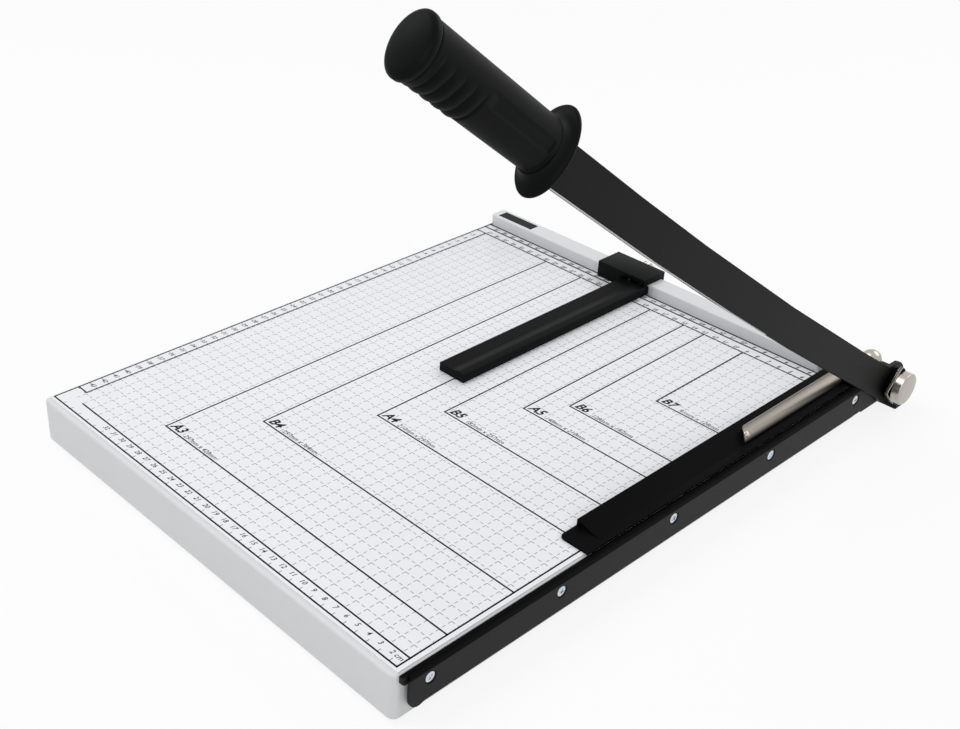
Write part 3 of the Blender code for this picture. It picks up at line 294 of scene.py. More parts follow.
def addNoise(tree, vector, grain, detail=2.0, roughness=0.5):  # grain in millimetres
    return addNode(tree, "ShaderNodeTexNoise", inputs={
        "Vector": vector, "Scale": 1 / (grain * mm), "Detail": detail, "Roughness": roughness}).outputs["Fac"]


def addBump(tree, shader, height, strength, depth):  # depth in millimetres
    bump = addNode(tree, "ShaderNodeBump", inputs={
        "Height": height, "Strength": strength, "Distance": depth * mm})
    tree.links.new(bump.outputs["Normal"], shader.inputs["Normal"])


def varyRoughness(tree, shader, noise, low, high):
    rough = addNode(tree, "ShaderNodeMapRange", inputs={
        "Value": noise, "From Min": 0.3, "From Max": 0.7, "To Min": low, "To Max": high})
    tree.links.new(rough.outputs["Result"], shader.inputs["Roughness"])


def objectPlace(tree):
    return addNode(tree, "ShaderNodeTexCoord").outputs["Object"]


def heightFade(tree, low, high):  # rises from 0 to 1 between two heights
    split = addNode(tree, "ShaderNodeSeparateXYZ", inputs={"Vector": objectPlace(tree)})
    return addNode(tree, "ShaderNodeMapRange", {"interpolation_type": "SMOOTHSTEP"}, {
        "Value": split.outputs["Z"], "From Min": low, "From Max": high}).outputs["Result"]


def newMaterial(name, colour, roughness, metallic=0.0, sheen=0.5):
    material = bpy.data.materials.new(name)
    material.use_nodes = True
    tree = material.node_tree
    shader = tree.nodes["Principled BSDF"]
    shader.inputs["Base Color"].default_value = linearColour(colour)
    shader.inputs["Roughness"].default_value = roughness
    shader.inputs["Metallic"].default_value = metallic
    shader.inputs["Specular IOR Level"].default_value = sheen
    return material, tree, shader


def grainedMaterial(name, look, roughness, metallic=0.0, sheen=0.5):
    # look: grain size and depth in mm, a second colour, and how far the roughness wanders
    material, tree, shader = newMaterial(name, look["colour"], roughness, metallic, sheen)
    place = addNode(tree, "ShaderNodeMapping", inputs={
        "Vector": objectPlace(tree), "Scale": look.get("stretch", (1.0, 1.0, 1.0))}).outputs["Vector"]
    grain = addNoise(tree, place, look["grain"], 3.0, 0.6)
    cloud = addNoise(tree, place, look["cloud"])
    varyRoughness(tree, shader, grain, look["roughLow"], look["roughHigh"])
    blend = mixColours(tree, cloud, look["colour"], look["second"])
    tree.links.new(blend, shader.inputs["Base Color"])
    addBump(tree, shader, grain, look["bump"], look["depth"])
    return material


def surfaceOf(material):  # its tree, its shader and what drives its colour
    tree = material.node_tree
    shader = tree.nodes["Principled BSDF"]
    return tree, shader, shader.inputs["Base Color"].links[0].from_socket


def paleCoat():
    # Powder coat on steel: a light grey skin with a very fine orange peel and soft highlights
    look = {"colour": "#D8DADB", "second": "#D2D4D5", "grain": 0.9, "cloud": 60.0, "depth": 0.03,
            "bump": 0.25, "roughLow": 0.38, "roughHigh": 0.48}
    return grainedMaterial("light grey powder coat", look, 0.42)


def blackCoat(name, colour, second, sheen):
    # Satin black powder coat: a fine peel that breaks up a weak, broad sheen
    look = {"colour": colour, "second": second, "grain": 0.8, "cloud": 45.0, "depth": 0.04, "bump": 0.3,
            "roughLow": 0.46, "roughHigh": 0.6}
    return grainedMaterial(name, look, 0.5, sheen=sheen)


def barCoat():
    # The side bar's satin coat, with painted shade: a darker band without sheen along its upper edge
    look = {"band": 3.4 * mm, "fade": 0.7 * mm, "dark": "#040404", "sheen": 0.16, "paintedShadeBandSheen": 0.02}
    material = blackCoat("satin black coat of the bar", "#0F0F10", "#121213", look["sheen"])
    tree, shader, coat = surfaceOf(material)
    # Painted shade: below the top, the coat darkens and loses its sheen
    paintedShadeBandLow = barHigh.z - look["band"]
    height = heightFade(tree, paintedShadeBandLow - look["fade"], paintedShadeBandLow)
    tree.links.new(mixColours(tree, height, coat, look["dark"]), shader.inputs["Base Color"])
    sheen = addNode(tree, "ShaderNodeMapRange", inputs={
        "Value": height, "To Min": look["sheen"], "To Max": look["paintedShadeBandSheen"]})
    tree.links.new(sheen.outputs["Result"], shader.inputs["Specular IOR Level"])
    return material


def deepBlackCoat():
    # The guard's darker, matter black: almost no sheen, so that its hollow curve reads as a soft fade
    look = {"colour": "#060606", "second": "#090909", "grain": 0.7, "cloud": 40.0, "depth": 0.03, "bump": 0.3,
            "roughLow": 0.4, "roughHigh": 0.55}
    return grainedMaterial("matt black powder coat", look, 0.45, sheen=0.02)


def blackMoulding():
    # Injection moulded polypropylene with a spark-eroded texture: near black, broad dull highlights
    look = {"colour": "#080909", "second": "#0B0C0C", "grain": 0.55, "cloud": 30.0, "depth": 0.05,
            "bump": 0.45, "roughLow": 0.4, "roughHigh": 0.56}
    return grainedMaterial("black textured polypropylene", look, 0.45, sheen=0.06)


def platedMetal(name, colour, second, roughLow, roughHigh, stretch=(1.0, 1.0, 1.0)):
    # Plating over turned or rolled steel: a bright skin with faint tool lines along the stretch
    look = {"colour": colour, "second": second, "grain": 0.35, "cloud": 9.0, "depth": 0.01, "bump": 0.3,
            "roughLow": roughLow, "roughHigh": roughHigh, "stretch": stretch}
    return grainedMaterial(name, look, 0.27, metallic=1.0)


def bluedLeaf():
    # Dull rolled spring steel with faint lines along its length; a painted reflection of the dark guard
    # darkens it towards its lower edge
    look = {"black": "#171615", "paintedReflectionBelow": 3.4 * mm, "paintedReflectionFadeTop": 7.0 * mm}
    material = platedMetal("spring steel with painted dark reflection", "#837E77", "#7A756E", 0.36, 0.48, (6.0, 0.25, 6.0))
    tree, shader, steel = surfaceOf(material)
    # Painted reflection: the steel fades to near black below a given height
    height = heightFade(tree, datum.z + look["paintedReflectionBelow"], datum.z + look["paintedReflectionFadeTop"])
    tree.links.new(mixColours(tree, height, look["black"], steel), shader.inputs["Base Color"])
    return material


def turnedMetal():
    # Nickel over a turned face: fine rings round the pivot's axis draw the highlight into a cross
    material, tree, shader = newMaterial("turned nickel plate", "#B3ADA5", 0.28, metallic=1.0)
    centred = addNode(tree, "ShaderNodeMapping", inputs={
        "Vector": objectPlace(tree), "Location": (0.0, -pivotPlace.y, -pivotPlace.z)})
    split = addNode(tree, "ShaderNodeSeparateXYZ", inputs={"Vector": centred.outputs["Vector"]})
    flat = addNode(tree, "ShaderNodeCombineXYZ", inputs={"Y": split.outputs["Y"], "Z": split.outputs["Z"]})
    radius = addNode(tree, "ShaderNodeVectorMath", {"operation": "LENGTH"}, {0: flat.outputs[0]})
    rings = addNode(tree, "ShaderNodeTexNoise", {"noise_dimensions": "1D"}, {
        "W": radius.outputs["Value"], "Scale": 1 / (0.5 * mm), "Detail": 2.0})
    varyRoughness(tree, shader, rings.outputs["Fac"], 0.2, 0.36)
    addBump(tree, shader, rings.outputs["Fac"], 0.4, 0.012)
    return material


def blackRubber():
    # Moulded natural rubber: matt, a touch of grey bloom
    look = {"colour": "#101010", "second": "#181817", "grain": 0.7, "cloud": 8.0, "depth": 0.04, "bump": 0.4,
            "roughLow": 0.7, "roughHigh": 0.85}
    return grainedMaterial("black moulded rubber", look, 0.8, sheen=0.15)


def printInk():
    # Screen ink: flat black, slightly glossier than the film
    material, tree, shader = newMaterial("black screen ink", "#060607", 0.4, sheen=0.1)
    speck = addNoise(tree, objectPlace(tree), 1.5)
    tree.links.new(mixColours(tree, speck, "#050506", "#0A0A0C"), shader.inputs["Base Color"])
    return material


centimetre = 10.0

printLayout = {  # millimetres from the cut line (to the left) and from the fence (to the front)
    "gridRight": 13.5, "gridLeft": 371.2, "gridBack": 19.1, "gridFront": 449.1,
    "stripLeft": 381.8, "stripFront": 459.4, "borderBack": -0.4, "thickLine": 8.8,
    "cornerLine": 439.0, "frontLineEnd": 360.0, "gridLine": 0.5, "frameLine": 1.25, "borderLine": 1.25,
    "thickLineWidth": 1.6, "fenceShadowLine": 1.75, "fenceShadowLineWidth": 1.8, "lift": 0.03, "inkThickness": 0.02,
    "sizes": (("A3", 297, 420), ("B4", 257, 364), ("A4", 210, 297), ("B5", 182, 257), ("A5", 148, 210),
              ("B6", 128, 182), ("B7", 91, 128)),
}


def windowMask(tree, value, low, high):
    above = calculate(tree, "GREATER_THAN", value, low)
    return calculate(tree, "MULTIPLY", above, calculate(tree, "LESS_THAN", value, high))


def stripeMask(tree, value, step, width):  # stripes on the multiples of a step
    distance = calculate(tree, "PINGPONG", value, step / 2)
    return calculate(tree, "LESS_THAN", distance, width / 2)


def joinMasks(tree, operation, masks):
    result = masks[0]
    for mask in masks[1:]:
        result = calculate(tree, operation, result, mask)
    return result


def gridMask(tree, across, along):
    # Dashed centimetre lines: two dashes to a side of a cell, the first of them starting on the crossing
    look = {"turnedAbout": 1000.0, "dashPitch": centimetre / 2, "dashStart": 0.05, "dashEnd": 2.9}
    mirrored = calculate(tree, "SUBTRACT", look["turnedAbout"], across)
    lines = []
    for lineAxis, runAxis in ((across, along), (along, mirrored)):
        onLine = stripeMask(tree, lineAxis, centimetre, printLayout["gridLine"])
        run = calculate(tree, "MODULO", runAxis, look["dashPitch"])
        dash = windowMask(tree, run, look["dashStart"], look["dashEnd"])
        lines.append(calculate(tree, "MULTIPLY", onLine, dash))
    inside = [windowMask(tree, across, printLayout["gridRight"], printLayout["gridLeft"]),
              windowMask(tree, along, printLayout["gridBack"], printLayout["gridFront"])]
    return joinMasks(tree, "MULTIPLY", [joinMasks(tree, "MAXIMUM", lines)] + inside)


def tickMask(tree, run, runWindow, depth, edge, side, lengths=(1.2, 3.0)):
    # Centimetre and half centimetre ticks that stand on a ruler's line
    marks = []
    for step, width, length in ((centimetre / 2, 0.22, lengths[0]), (centimetre, 0.5, lengths[1])):
        low, high = sorted((edge, edge + side * length))
        onMark = stripeMask(tree, run, step, width)
        marks.append(calculate(tree, "MULTIPLY", onMark, windowMask(tree, depth, low, high)))
    return calculate(tree, "MULTIPLY", joinMasks(tree, "MAXIMUM", marks), windowMask(tree, run, *runWindow))


def printedFilm():
    # Calendered vinyl film: cool white, softly glossy, with the grid and the ruler ticks printed on it
    material, tree, shader = newMaterial("white printed vinyl film", "#E9EAEE", 0.34)
    layout = printLayout
    place = objectPlace(tree)
    inMillimetres = addNode(tree, "ShaderNodeMapping", inputs={
        "Vector": place, "Scale": (-millimetresPerMetre, -millimetresPerMetre, 1.0),
        "Location": (datum.x * millimetresPerMetre, datum.y * millimetresPerMetre, 0.0)})
    split = addNode(tree, "ShaderNodeSeparateXYZ", inputs={"Vector": inMillimetres.outputs["Vector"]})
    across, along = split.outputs["X"], split.outputs["Y"]
    grid = gridMask(tree, across, along)
    acrossRun = (layout["gridRight"], layout["gridLeft"])
    alongRun = (layout["gridBack"], layout["gridFront"])
    ticks = joinMasks(tree, "MAXIMUM", [
        tickMask(tree, across, acrossRun, along, layout["stripFront"], -1),
        tickMask(tree, along, alongRun, across, layout["stripLeft"], -1),
        tickMask(tree, along, alongRun, across, layout["gridLeft"], 1, (0.0, 2.0)),
        tickMask(tree, across, acrossRun, along, layout["thickLine"], -1),
        tickMask(tree, across, acrossRun, along, layout["gridBack"], -1)])
    film = mixColours(tree, addNoise(tree, place, 35.0), "#E6E7EA", "#EBECEE")
    withGrid = mixColours(tree, grid, film, "#7B7D82")
    withTicks = mixColours(tree, ticks, withGrid, "#3A3B40")
    tree.links.new(withTicks, shader.inputs["Base Color"])
    addBump(tree, shader, addNoise(tree, place, 1.2), 0.15, 0.02)
    return material


# Camera, light and floor

def makeCamera():
    look = {"place": (390.409, -849.459, 535.269), "turn": (59.6094, -1.0803, 47.8867),
            "focalPixels": 1355.18, "centreX": 381.69, "centreY": 347.20, "sensor": 36.0}
    data = bpy.data.cameras.new("photoCamera")
    data.sensor_width = look["sensor"]
    data.lens = look["sensor"] * look["focalPixels"] / photoWidth
    data.shift_x = (photoWidth / 2 - look["centreX"]) / photoWidth
    data.shift_y = (look["centreY"] - photoHeight / 2) / photoWidth
    data.clip_start = 0.01
    camera = bpy.data.objects.new("photoCamera", data)
    bpy.context.collection.objects.link(camera)
    camera.location = fromDatum(*look["place"])
    camera.rotation_euler = [math.radians(angle) for angle in look["turn"]]
    bpy.context.scene.camera = camera


def addSoftbox(name, place, aim, size, power):
    light = bpy.data.lights.new(name, "AREA")
    light.shape = "RECTANGLE"
    light.size, light.size_y = size
    light.energy = power
    lamp = bpy.data.objects.new(name, light)
    bpy.context.collection.objects.link(lamp)
    lamp.location = place
    lamp.rotation_euler = (Vector(aim) - Vector(place)).to_track_quat("-Z", "Y").to_euler()


def shownDirectly(tree):  # 1 for rays from the camera and for mirror and glass rays
    path = addNode(tree, "ShaderNodeLightPath")
    return joinMasks(tree, "MAXIMUM", [path.outputs["Is Camera Ray"], path.outputs["Is Glossy Ray"],
                                       path.outputs["Is Transmission Ray"]])


def makeFloor():
    look = {"size": 14, "paper": "#EEEEEE", "glow": "#FFFFFF", "glowShare": 0.86}
    clearSelection()
    bpy.ops.mesh.primitive_plane_add(size=look["size"], location=(0, 0, 0))
    floor = settle("studioFloor")
    material = bpy.data.materials.new("white paper floor")
    material.use_nodes = True
    tree = material.node_tree
    tree.nodes.clear()
    diffuse = addNode(tree, "ShaderNodeBsdfDiffuse", inputs={"Color": look["paper"]})
    glow = addNode(tree, "ShaderNodeEmission", inputs={"Color": look["glow"], "Strength": 1.0})
    share = calculate(tree, "MULTIPLY", shownDirectly(tree), look["glowShare"])
    mix = addNode(tree, "ShaderNodeMixShader", inputs={0: share, 1: diffuse.outputs[0], 2: glow.outputs[0]})
    addNode(tree, "ShaderNodeOutputMaterial", inputs={"Surface": mix.outputs[0]})
    floor.data.materials.append(material)


def makeStudio():
    look = {"ambient": "#F6F6F8", "ambientStrength": 0.56, "backdrop": "#FFFFFF",
            "softboxes": (  # name, place, aim, size and power
                ("keySoftbox", (-0.9, -0.7, 1.9), (0, 0, 0.05), (1.4, 1.4), 20),
                ("fillSoftbox", (1.5, -1.1, 1.0), (0.05, 0, 0.05), (1.2, 1.0), 7),
                ("rearSoftbox", (0.5, 1.6, 1.3), (0, 0, 0.1), (1.4, 0.8), 9))}
    bpy.context.scene.view_settings.view_transform = "Standard"
    makeFloor()
    world = bpy.data.worlds.new("studioWorld")
    bpy.context.scene.world = world
    world.use_nodes = True
    tree = world.node_tree
    tree.nodes.clear()
    ambient = addNode(tree, "ShaderNodeBackground", inputs={
        "Color": look["ambient"], "Strength": look["ambientStrength"]})
    shown = addNode(tree, "ShaderNodeBackground", inputs={"Color": look["backdrop"], "Strength": 1.0})
    mix = addNode(tree, "ShaderNodeMixShader", inputs={
        0: shownDirectly(tree), 1: ambient.outputs[0], 2: shown.outputs[0]})
    addNode(tree, "ShaderNodeOutputWorld", inputs={"Surface": mix.outputs[0]})
    for softbox in look["softboxes"]:
        addSoftbox(*softbox)


makeCamera()
makeStudio()
print("camera and studio ready")

paleCoatFinish = paleCoat()
blackCoatFinish = blackCoat("satin black powder coat", "#0F0F10", "#121213", 0.16)
barCoatFinish = barCoat()
# Painted shade: the arm takes a darker copy of the bar's black paint
armShadedCoatFinish = blackCoat("satin black coat of the arm", "#0A0A0A", "#0C0C0C", 0.11)  # deeper than the bar
deepBlackFinish = deepBlackCoat()
mouldedFinish = blackMoulding()
filmFinish = printedFilm()
inkFinish = printInk()
nickelFinish = platedMetal("satin nickel plate", "#B5AFA6", "#A8A299", 0.2, 0.32)
springFinish = platedMetal("rolled spring steel", "#9A958C", "#8D8880", 0.28, 0.42, (6.0, 0.25, 6.0))
zincFinish = platedMetal("bright zinc plate", "#D5DAE0", "#C3CAD4", 0.18, 0.3)
steelFinish = platedMetal("zinc coated sheet steel", "#A9ACB0", "#989BA0", 0.3, 0.45)
groundFinish = platedMetal("ground blade steel", "#C2C2C2", "#BABABA", 0.24, 0.3, (1.0, 0.1, 1.0))
leafFinish = bluedLeaf()
darkSteelFinish = platedMetal("stamped dark steel", "#5A5A55", "#4C4C48", 0.4, 0.55)
turnedFinish = turnedMetal()
bronzeFinish = platedMetal("sintered bronze", "#9A7143", "#8A6238", 0.4, 0.55)
rubberFinish = blackRubber()

slotFinishes = {"pale_paint": paleCoatFinish, "black_paint": blackCoatFinish, "black_plastic": mouldedFinish,
                "printed_vinyl": filmFinish, "nickel": nickelFinish, "spring_steel": springFinish,
                "mild_steel": steelFinish, "bright_zinc": zincFinish, "bronze": bronzeFinish,
                "rubber": rubberFinish}
nodeSlots = {entry["node"]: entry["material_slot"] for entry in frame["record"]["subparts"]}
bodyMembers = frame["record"]["behaviour"]["bodies"]
nodeBodies = {node: body for body, members in bodyMembers.items() for node in members}
for node, slot in nodeSlots.items():  # every carried-over node gets its finish
    nodes[node].data.materials.clear()
    nodes[node].data.materials.append(slotFinishes[slot])
print("materials ready")


# Board

def makeBoard():
    look = {"cornerRadius": 5.0 * mm, "rimRadius": 2.2 * mm, "wall": 1.4 * mm, "lip": 14.0 * mm,
            "rimSteps": 6, "cornerSteps": 8}
    low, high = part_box("base_pan")
    middle, span = (low + high) / 2, high - low
    board = addBlock("boardPan", low, high)
    roundEdges(board, lambda at, way: abs(way.z) > 0.9, look["cornerRadius"], look["cornerSteps"])
    roundEdges(board, lambda at, way: at.z > high.z - faceTolerance, look["rimRadius"], look["rimSteps"])
    selectParts(board, "FACE", lambda at, normal: normal.z < -0.9)
    bpy.ops.mesh.delete(type="FACE")
    bpy.ops.object.mode_set(mode="OBJECT")
    selectParts(board, "EDGE", lambda at, way: at.z < low.z + faceTolerance and abs(way.z) < 0.1)
    bpy.ops.mesh.extrude_edges_move(TRANSFORM_OT_translate={"value": (0, 0, 0)})
    bpy.ops.transform.resize(value=(1 - 2 * look["lip"] / span.x, 1 - 2 * look["lip"] / span.y, 1),
                             center_override=(middle.x, middle.y, low.z))
    turnNormalsOut()
    useModifier(board, "SOLIDIFY", thickness=look["wall"], offset=-1.0)
    finishPiece(board, paleCoatFinish, "base", ["base_pan", "return_frame"])


def makeFence():
    look = {"endRadius": 3.0 * mm, "edge": 0.9 * mm, "steps": 6}
    fence = addBlock("fenceBar", fenceLow, fenceHigh)
    roundEdges(fence, lambda at, way: abs(way.z) > 0.9, look["endRadius"], look["steps"])
    roundEdges(fence, lambda at, way: at.z > fenceHigh.z - faceTolerance, look["edge"], look["steps"])
    finishNode(fence, paleCoatFinish, "fence")


def makeSheet():
    look = {"seat": 0.02 * mm, "edge": 0.12 * mm, "steps": 2}
    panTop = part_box("base_pan")[1].z
    sheet = addBlock("printedSheet", (sheetLow.x, sheetLow.y, panTop + look["seat"]), sheetHigh)
    roundEdges(sheet, lambda at, way: at.z > sheetHigh.z - faceTolerance, look["edge"], look["steps"])
    finishNode(sheet, filmFinish, "printed_sheet")


def makeBadge():  # a bare plate on the fence
    look = {"left": -378.0, "right": -338.5, "front": 4.6, "back": 15.2, "sink": 0.3, "rise": 0.04}
    top = (fenceHigh.z - datum.z) / mm
    plate = addBlock("fenceBadge", fromDatum(look["left"], look["front"], top - look["sink"]),
                     fromDatum(look["right"], look["back"], top + look["rise"]))
    finishPiece(plate, inkFinish, "base")


def addStrip(low, high):  # a thin rectangle between two corners of the same height
    bpy.ops.mesh.primitive_plane_add(size=1, location=(low + high) / 2)
    strip = bpy.context.active_object
    strip.scale = (high.x - low.x, high.y - low.y, 1)
    bpy.ops.object.transform_apply(location=True, rotation=True, scale=True)
    return strip


def printLines():
    # Border, paper sizes, the thick line along the fence and a painted shadow line at the fence, as (right,
    # back, left, front, width)
    layout = printLayout
    right, left, front, back = (layout[key] for key in ("gridRight", "gridLeft", "gridFront", "gridBack"))
    outerLeft, outerFront = layout["stripLeft"], layout["stripFront"]
    thin, thick, rear = layout["borderLine"], layout["thickLineWidth"], layout["borderBack"]
    lines = [(right, rear, right, outerFront, thin), (outerLeft, rear, outerLeft, outerFront, thin),
             (left, back, left, layout["cornerLine"], thin), (right, outerFront, outerLeft, outerFront, thin),
             (left, layout["cornerLine"], outerLeft, layout["cornerLine"], thin),
             (right, front, layout["frontLineEnd"], front, thin), (right, back, outerLeft, back, thin),
             (right, layout["thickLine"], outerLeft, layout["thickLine"], thick),
             # Painted shadow: a black line in the place of the dark gap between the sheet and the fence
             (right, layout["fenceShadowLine"], outerLeft, layout["fenceShadowLine"], layout["fenceShadowLineWidth"])]
    for _, width, height in layout["sizes"]:
        lines.append((width, back, width, height, layout["frameLine"]))
        lines.append((right, height, width, height, layout["frameLine"]))
    return lines


def finishPrint(pieces, name):
    printed = joinPieces(pieces, name)
    useModifier(printed, "SOLIDIFY", thickness=printLayout["inkThickness"] * mm, offset=-1.0)
    finishPiece(printed, inkFinish, "base")


def makeLines():
    clearSelection()
    strips = []
    for x0, y0, x1, y1, width in printLines():
        low = fromDatum(-max(x0, x1) - width / 2, -max(y0, y1) - width / 2, printLayout["lift"])
        high = fromDatum(-min(x0, x1) + width / 2, -min(y0, y1) + width / 2, printLayout["lift"])
        strips.append(addStrip(low, high))
    finishPrint(strips, "printedAndShadowLines")


def writeText(words, x, y, style, align="LEFT"):
    size, slant, weight = style
    clearSelection()
    bpy.ops.object.text_add(location=fromDatum(x, y, printLayout["lift"]))
    text = bpy.context.active_object
    text.data.body = words
    text.data.size = size * mm
    text.data.shear = slant
    text.data.offset = weight * mm
    text.data.align_x = align
    text.data.resolution_u = 2
    bpy.ops.object.convert(target="MESH")
    return bpy.context.active_object


def makeNumbers():
    # Plain ruler numbers and the names of the paper sizes; a text style is its size, slant and weight
    look = {"digit": (5.0, 0.25, 0.05), "label": (10.4, 0.3, 0.3), "small": (5.2, 0.25, 0.03),
            "firstAcross": 2, "lastAcross": 37, "lastFront": 32, "firstAlong": 3, "lastAlong": 43,
            "frontDrop": 0.4, "frontShift": 4.2, "frontCreep": 0.063, "backDrop": 8.6, "fenceDrop": 7.4,
            "leftShift": 0.4, "leftDrop": 1.8, "unitShift": 4.8, "unitDrop": 0.6, "labelInset": 2.2,
            "measureShift": 18.5, "measureInset": 1.6}
    layout = printLayout
    frontMiddle = (layout["gridFront"] + layout["stripFront"]) / 2
    leftMiddle = (layout["gridLeft"] + layout["stripLeft"]) / 2
    digits = []  # (number, x, y)
    for number in range(look["firstAcross"], look["lastAcross"] + 1):
        x = -centimetre * number
        if number <= look["lastFront"]:  # the front ruler's numbers close up a little towards the left
            shift = look["frontShift"] - look["frontCreep"] * number
            digits.append((number, x - shift, -frontMiddle - look["frontDrop"]))
        digits.append((number, x, -layout["thickLine"] - look["backDrop"]))
        digits.append((number, x, -look["fenceDrop"]))
    for number in range(look["firstAlong"], look["lastAlong"] + 1):
        digits.append((number, -leftMiddle - look["leftShift"], -centimetre * number - look["leftDrop"]))
    pieces = [writeText(str(number), x, y, look["digit"], "CENTER") for number, x, y in digits]
    pieces.append(writeText("cm", -layout["gridRight"] - look["unitShift"], -frontMiddle - look["unitDrop"],
                            look["small"], "CENTER"))
    for name, width, height in layout["sizes"]:
        pieces.append(writeText(name, look["labelInset"] - width, look["labelInset"] - height, look["label"]))
        pieces.append(writeText("%dmm x %dmm" % (width, height), look["measureShift"] - width,
                                look["measureInset"] - height, look["small"]))
    finishPrint(pieces, "printedNumbers")


makeBoard()
makeFence()
makeSheet()
makeBadge()
makeLines()
makeNumbers()
print("board and print ready")


# Pieces that keep the frame's shape with softened edges

def darkenTop(piece):
    # The bar and the fixed blade are painted black; their top faces take the darker matt black as painted
    # shade, a dark line beside the cut
    piece.data.materials.append(deepBlackFinish)
    for face in piece.data.polygons:
        if face.normal.z > 0.6:
            face.material_index = 1


def makeRefined():
    look = {  # node: (name, edge radius in mm, segments, finish)
        "cutting_bar": ("sideBar", 0.4, 3, barCoatFinish),
        "lower_blade": ("lowerBlade", 0.25, 3, blackCoatFinish),
        "hinge_bracket": ("hingeBracket", 0.6, 3, blackCoatFinish),
        "heel_plate": ("heelPlate", 0.8, 4, blackCoatFinish),
        "paper_guard": ("paperGuard", 0.3, 3, deepBlackFinish),
        "gauge_head": ("gaugeHead", 0.2, 2, mouldedFinish), "thumbscrew": ("thumbKnob", 0.2, 2, nickelFinish),
        "pivot_nut": ("pivotNut", 0.5, 3, nickelFinish), "tapped_strip": ("tappedStrip", 0.3, 2, steelFinish),
        "cross_rib_front": ("crossRibFront", 0.3, 2, steelFinish),
        "cross_rib_rear": ("crossRibRear", 0.3, 2, steelFinish)}
    for node, (name, width, segments, finish) in look.items():
        piece = copyOfNode(node, name)
        softenEdges(piece, width * mm, segments)
        finishNode(piece, finish, node)
        if node in ("cutting_bar", "lower_blade"):
            darkenTop(piece)


makeRefined()
print("refined pieces ready")


# Blade arm with its ground edge, and the grip

def makeArm():
    look = {"edge": 0.2 * mm, "segments": 3, "paintedShadeReach": 230 * mm, "outward": 0.1, "downward": 0.35}
    arm = copyOfNode("blade_arm", "bladeArm")
    downward = armPlace.to_3x3() @ Vector((0, 0, -1))
    softenEdges(arm, look["edge"], look["segments"], angle=60)
    finishNode(arm, armShadedCoatFinish, "blade_arm")
    arm.data.materials.append(groundFinish)
    # The ground facet is bright steel; nearer the pivot than a given reach it keeps the black coat as painted
    # shade
    for face in arm.data.polygons:  # the ground edge shows bright only towards the grip
        reach = (face.center - armPlace.translation).length
        ground = face.normal.x > look["outward"] and face.normal.dot(downward) > look["downward"]
        if ground and reach > look["paintedShadeReach"]:
            face.material_index = 1


def gripBarrelPoint(around, along):
    # Oval barrel: four finger grooves under its far end and a shallow flute along each side
    look = {"start": 8.4, "end": 111.9, "halfWidth": 11.6, "halfHeight": 15.4, "belly": 0.8, "groove": 1.9,
            "firstNotch": 71.6, "pitch": 8.4, "count": 4, "notchRise": 1.3, "notchPower": 0.6,
            "notchFloor": 0.2, "notchFall": 1.6, "belowFrom": 0.2, "belowSpan": 0.75, "startDrop": 0.02,
            "startSpan": 0.9, "endDrop": 0.07, "round": 1.3, "flute": 0.85, "fluteHalf": 4.2,
            "fluteStart": 12.0, "fluteEnd": 70.0, "fluteEdge": 1.8, "fluteRise": 1.6, "fade": 8.0,
            "crease": 1.3, "creaseAt": 11.0, "creaseHalf": 0.9}
    s = look["start"] + (look["end"] - look["start"]) * wallShare(along)
    angle = 2 * math.pi * around
    across, up = math.cos(angle), math.sin(angle)
    fromNotch, groove = s - look["firstNotch"], look["groove"]
    pastNotches = fromNotch - look["count"] * look["pitch"]
    if fromNotch < 0:
        cut = look["belly"] + (groove - look["belly"]) * smoothStep(fromNotch / look["notchRise"] + 1)
    elif pastNotches < 0:
        share = fromNotch / look["pitch"] % 1.0
        cut = groove * (1 - math.sin(math.pi * share) ** look["notchPower"]) + look["notchFloor"]
    else:
        cut = groove * (1 - smoothStep(pastNotches / look["notchFall"])) + look["notchFloor"]
    cut += look["crease"] * math.exp(-((s - look["creaseAt"]) / look["creaseHalf"]) ** 2)
    below = smoothStep((look["belowFrom"] - up) / look["belowSpan"])
    atStart = 1 - smoothStep((s - look["start"]) / look["startSpan"])
    toEnd = min((look["end"] - s) / look["round"], 1.0)
    atEnd = 1 - math.sqrt(max(0.0, 1 - (1 - toEnd) ** 2))
    scale = 1 - cut * below / look["halfHeight"] - look["startDrop"] * atStart - look["endDrop"] * atEnd
    x, z = look["halfWidth"] * across * scale, look["halfHeight"] * up * scale
    inFlute = smoothStep((look["fluteHalf"] - abs(z)) / look["fluteEdge"])
    inFlute *= smoothStep((s - look["fluteStart"]) / look["fluteRise"])
    inFlute *= smoothStep((look["fluteEnd"] - s) / look["fade"])
    x -= math.copysign(look["flute"] * inFlute, x)
    if isClosingRow(along):
        x, z = 0.0, 0.0
    return x, -s, z


